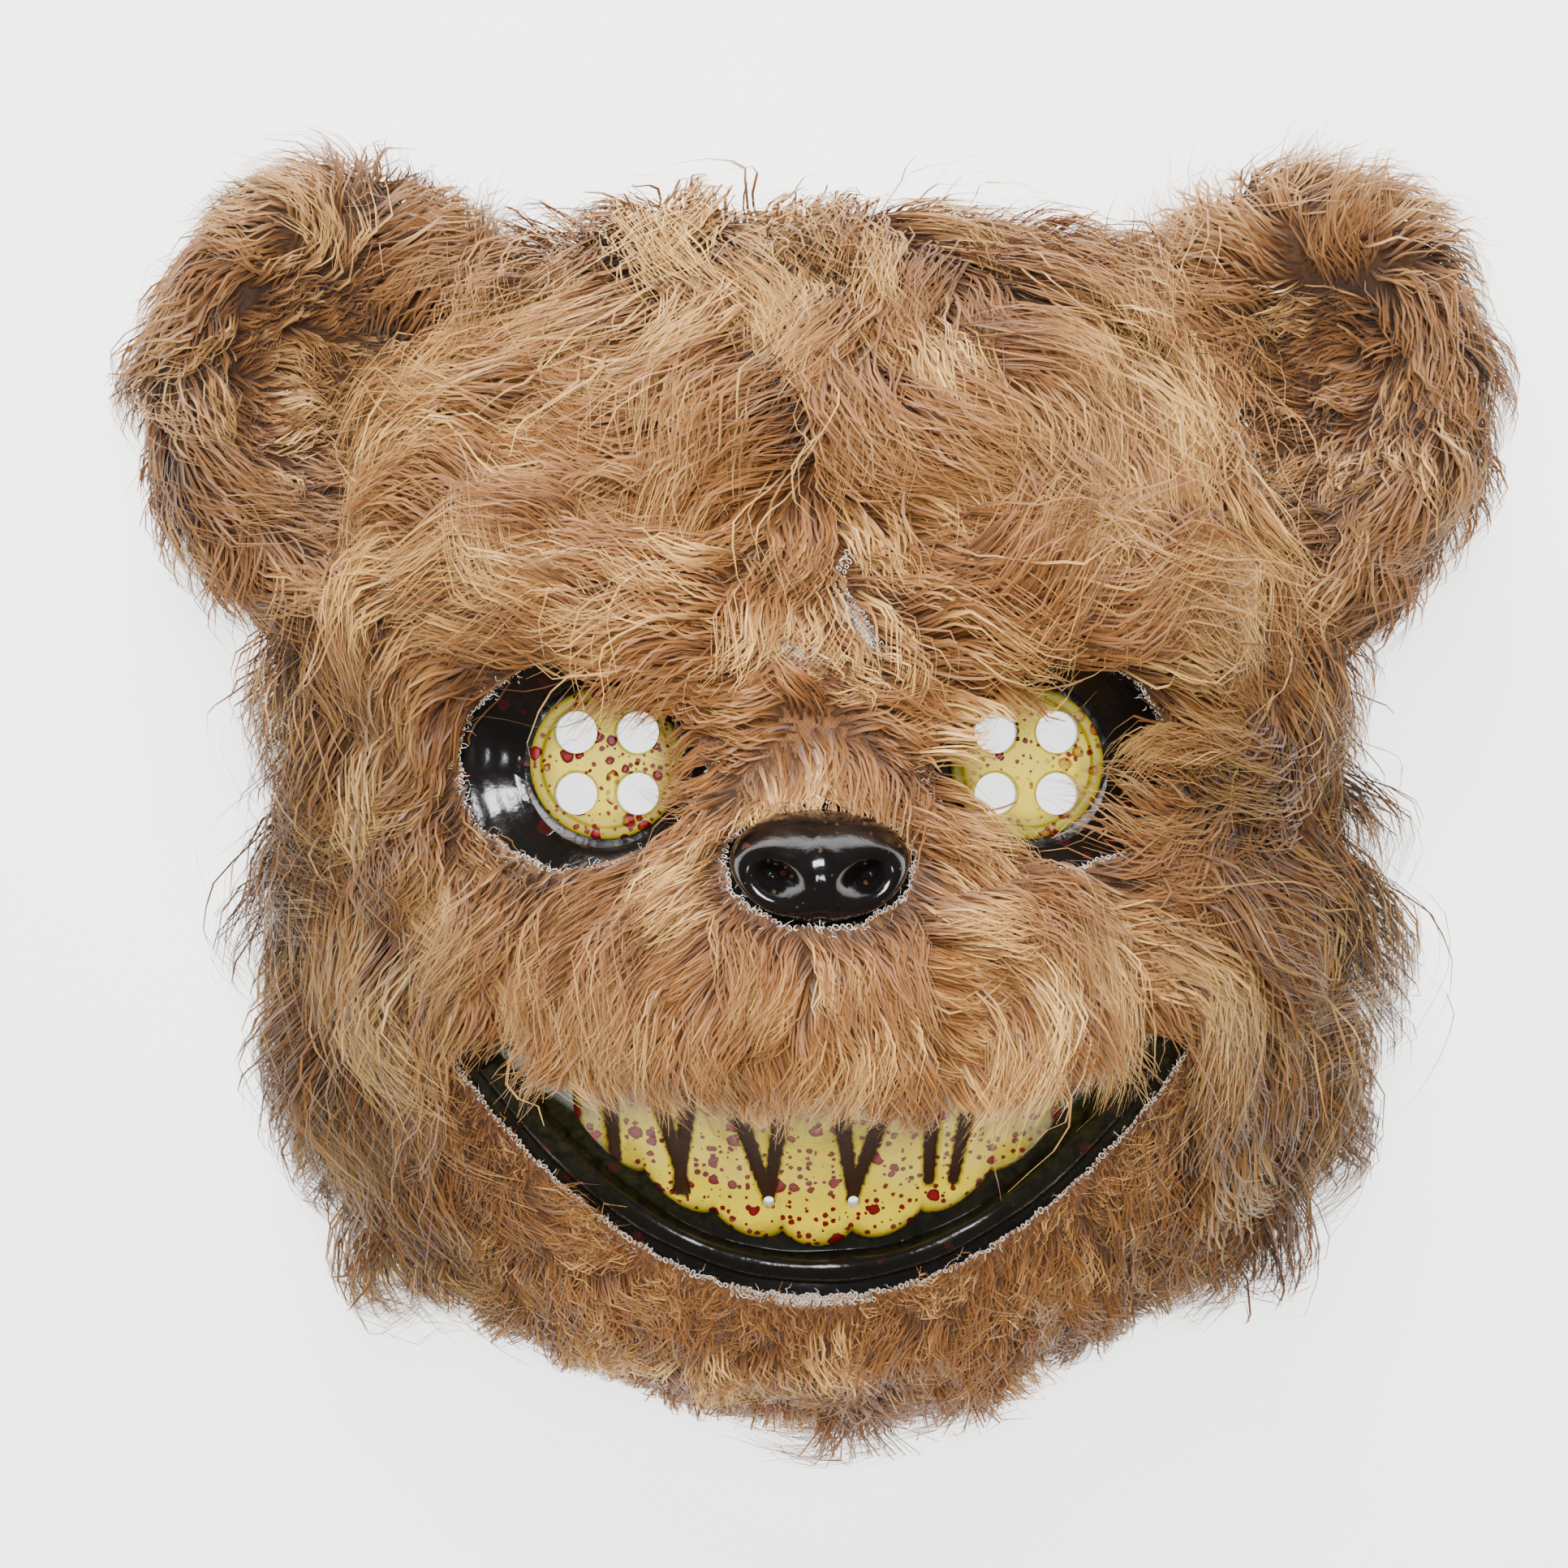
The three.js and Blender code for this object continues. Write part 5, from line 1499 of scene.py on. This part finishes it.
# Elastic strap: a flat woven band on edge across the hollow, its ends folded to tabs and glued
# to the side walls. It holds the mask on the wearer's head.
STRAP_LINE = 52
STRAP_WIDTH = 10
STRAP_THICKNESS = 1.2
STRAP_TAB = 16
STRAP_RISE = 2
STRAP_HALF_LENGTH = 110.4
TAB_MIDDLE = 100
TAB_HALF_LENGTH = 14

strap_x = np.linspace(-STRAP_HALF_LENGTH, STRAP_HALF_LENGTH, 240)
section = []
for k in range(9):
    z = STRAP_RISE + 0.35 + (STRAP_WIDTH - 0.7) * k / 8
    section.append((STRAP_THICKNESS / 2 - (0.22 if k % 2 else 0.0), z))
section = section + [(-y, z) for y, z in section[::-1]]
strap_points = []
for x in strap_x:
    weave = 1 + 0.06 * math.sin(x * 4.2)
    strap_points += [(x, STRAP_LINE + y * weave, z) for y, z in section]
n = len(section)
strap_faces = [tuple(range(n))[::-1], tuple(range((len(strap_x) - 1) * n, len(strap_x) * n))]
for i in range(len(strap_x) - 1):
    for k in range(n):
        j = (k + 1) % n
        strap_faces.append((i * n + k, i * n + j, (i + 1) * n + j, (i + 1) * n + k))
strap = made("strap_band", strap_points, strap_faces)
tab_low, tab_high = STRAP_LINE - STRAP_TAB / 2, STRAP_LINE + STRAP_TAB / 2
tabs = []
for side in (-1, 1):
    left = side * TAB_MIDDLE - TAB_HALF_LENGTH
    right = side * TAB_MIDDLE + TAB_HALF_LENGTH
    corners = [(left, tab_low), (right, tab_low), (right, tab_high), (left, tab_high)]
    tab = prism("tab", corners, STRAP_RISE, STRAP_RISE + STRAP_WIDTH)
    carve(tab, face_block("tab_back", -SHELL_WALL - COVER_SEAT), way="INTERSECT")
    carve(tab, face_block("tab_front", -SHELL_WALL - COVER_SEAT - STRAP_THICKNESS))
    tabs.append(tab)
carve(strap, *tabs, way="UNION")

woven_elastic, wire = finish("black woven elastic")
place = place_of(wire)
axes = place.axes()
warp = axes.maths("SINE", axes.other("Z") * 7000)
weft = axes.maths("SINE", axes * 5200 + axes.other("Z") * 2600)
thread = (warp * weft * 0.5 + 0.5).clamped()
dust = noise(wire, place, 700, 3)
colour = thread.blend(srgb(0.05, 0.05, 0.055), srgb(0.17, 0.17, 0.18))
colour = (dust * 0.25).blend(colour, srgb(0.30, 0.29, 0.28))
seal(wire, {
    "Base Color": colour,
    "Roughness": 0.8 + dust * 0.12,
    "Specular IOR Level": 0.3,
    "Sheen Weight": 0.2,
    "Normal": (thread + dust * 0.3).relief(0.6, 0.0003),
})
dress(strap, woven_elastic, "elastic", "elastic_strap", crease=40)

# Setting: a plain pale floor under the mask, soft studio lamps, of which the fills are kept out
# of the gloss, and the camera over the face.
SENSOR_WIDTH = 36
PHOTO_WIDTH = 1932
FOCAL_PIXELS = 2882
CAMERA_PLACE = (-0.007, 0.0054, 0.55)

bpy.ops.mesh.primitive_plane_add(size=6)
floor = bpy.context.object
floor.name = "floor"
floor_paint, wire = finish("pale floor")
grain = noise(wire, place_of(wire), 40, 3)
seal(wire, {
    "Base Color": grain.blend((0.80, 0.80, 0.79, 1), (0.84, 0.84, 0.83, 1)),
    "Roughness": 0.85,
    "Emission Color": (1.0, 0.985, 0.97, 1),
    "Emission Strength": 2.0,
})
floor.data.materials.append(floor_paint)
floor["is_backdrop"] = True


def lamp(name, size, power, place, target=(0, 0, 0.05), in_gloss=True):
    data = bpy.data.lights.new(name, "AREA")
    data.shape = "RECTANGLE"
    data.size, data.size_y = size
    data.energy = power
    holder = bpy.data.objects.new(name, data)
    bpy.context.scene.collection.objects.link(holder)
    holder.location = place
    holder.visible_glossy = in_gloss
    aim = Vector(target) - Vector(place)
    holder.rotation_euler = aim.to_track_quat("-Z", "Y").to_euler()


lamp("window_softbox", (0.16, 0.20), 2.4, (-0.02, 0.15, 0.95))
lamp("head_softbox", (0.6, 0.35), 28.0, (-0.15, 1.1, 0.8))
lamp("front_fill", (0.4, 0.4), 9.0, (-0.02, 0.12, 0.72), in_gloss=False)
lamp("chin_fill", (1.0, 0.5), 4.0, (0.1, -1.1, 0.65), in_gloss=False)
lamp("left_fill", (0.4, 1.0), 2.0, (-1.1, 0.2, 0.7), in_gloss=False)
lamp("right_fill", (0.4, 1.0), 1.0, (1.1, 0.1, 0.7), in_gloss=False)
world = bpy.data.worlds.new("studio")
world.use_nodes = True
world.node_tree.nodes["Background"].inputs["Color"].default_value = (1.0, 0.98, 0.96, 1)
world.node_tree.nodes["Background"].inputs["Strength"].default_value = 0.12
bpy.context.scene.world = world

eye = bpy.data.cameras.new("camera")
eye.sensor_width = SENSOR_WIDTH
eye.lens = SENSOR_WIDTH * FOCAL_PIXELS / PHOTO_WIDTH
camera = bpy.data.objects.new("camera", eye)
bpy.context.scene.collection.objects.link(camera)
camera.location = CAMERA_PLACE
bpy.context.scene.camera = camera

low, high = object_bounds()
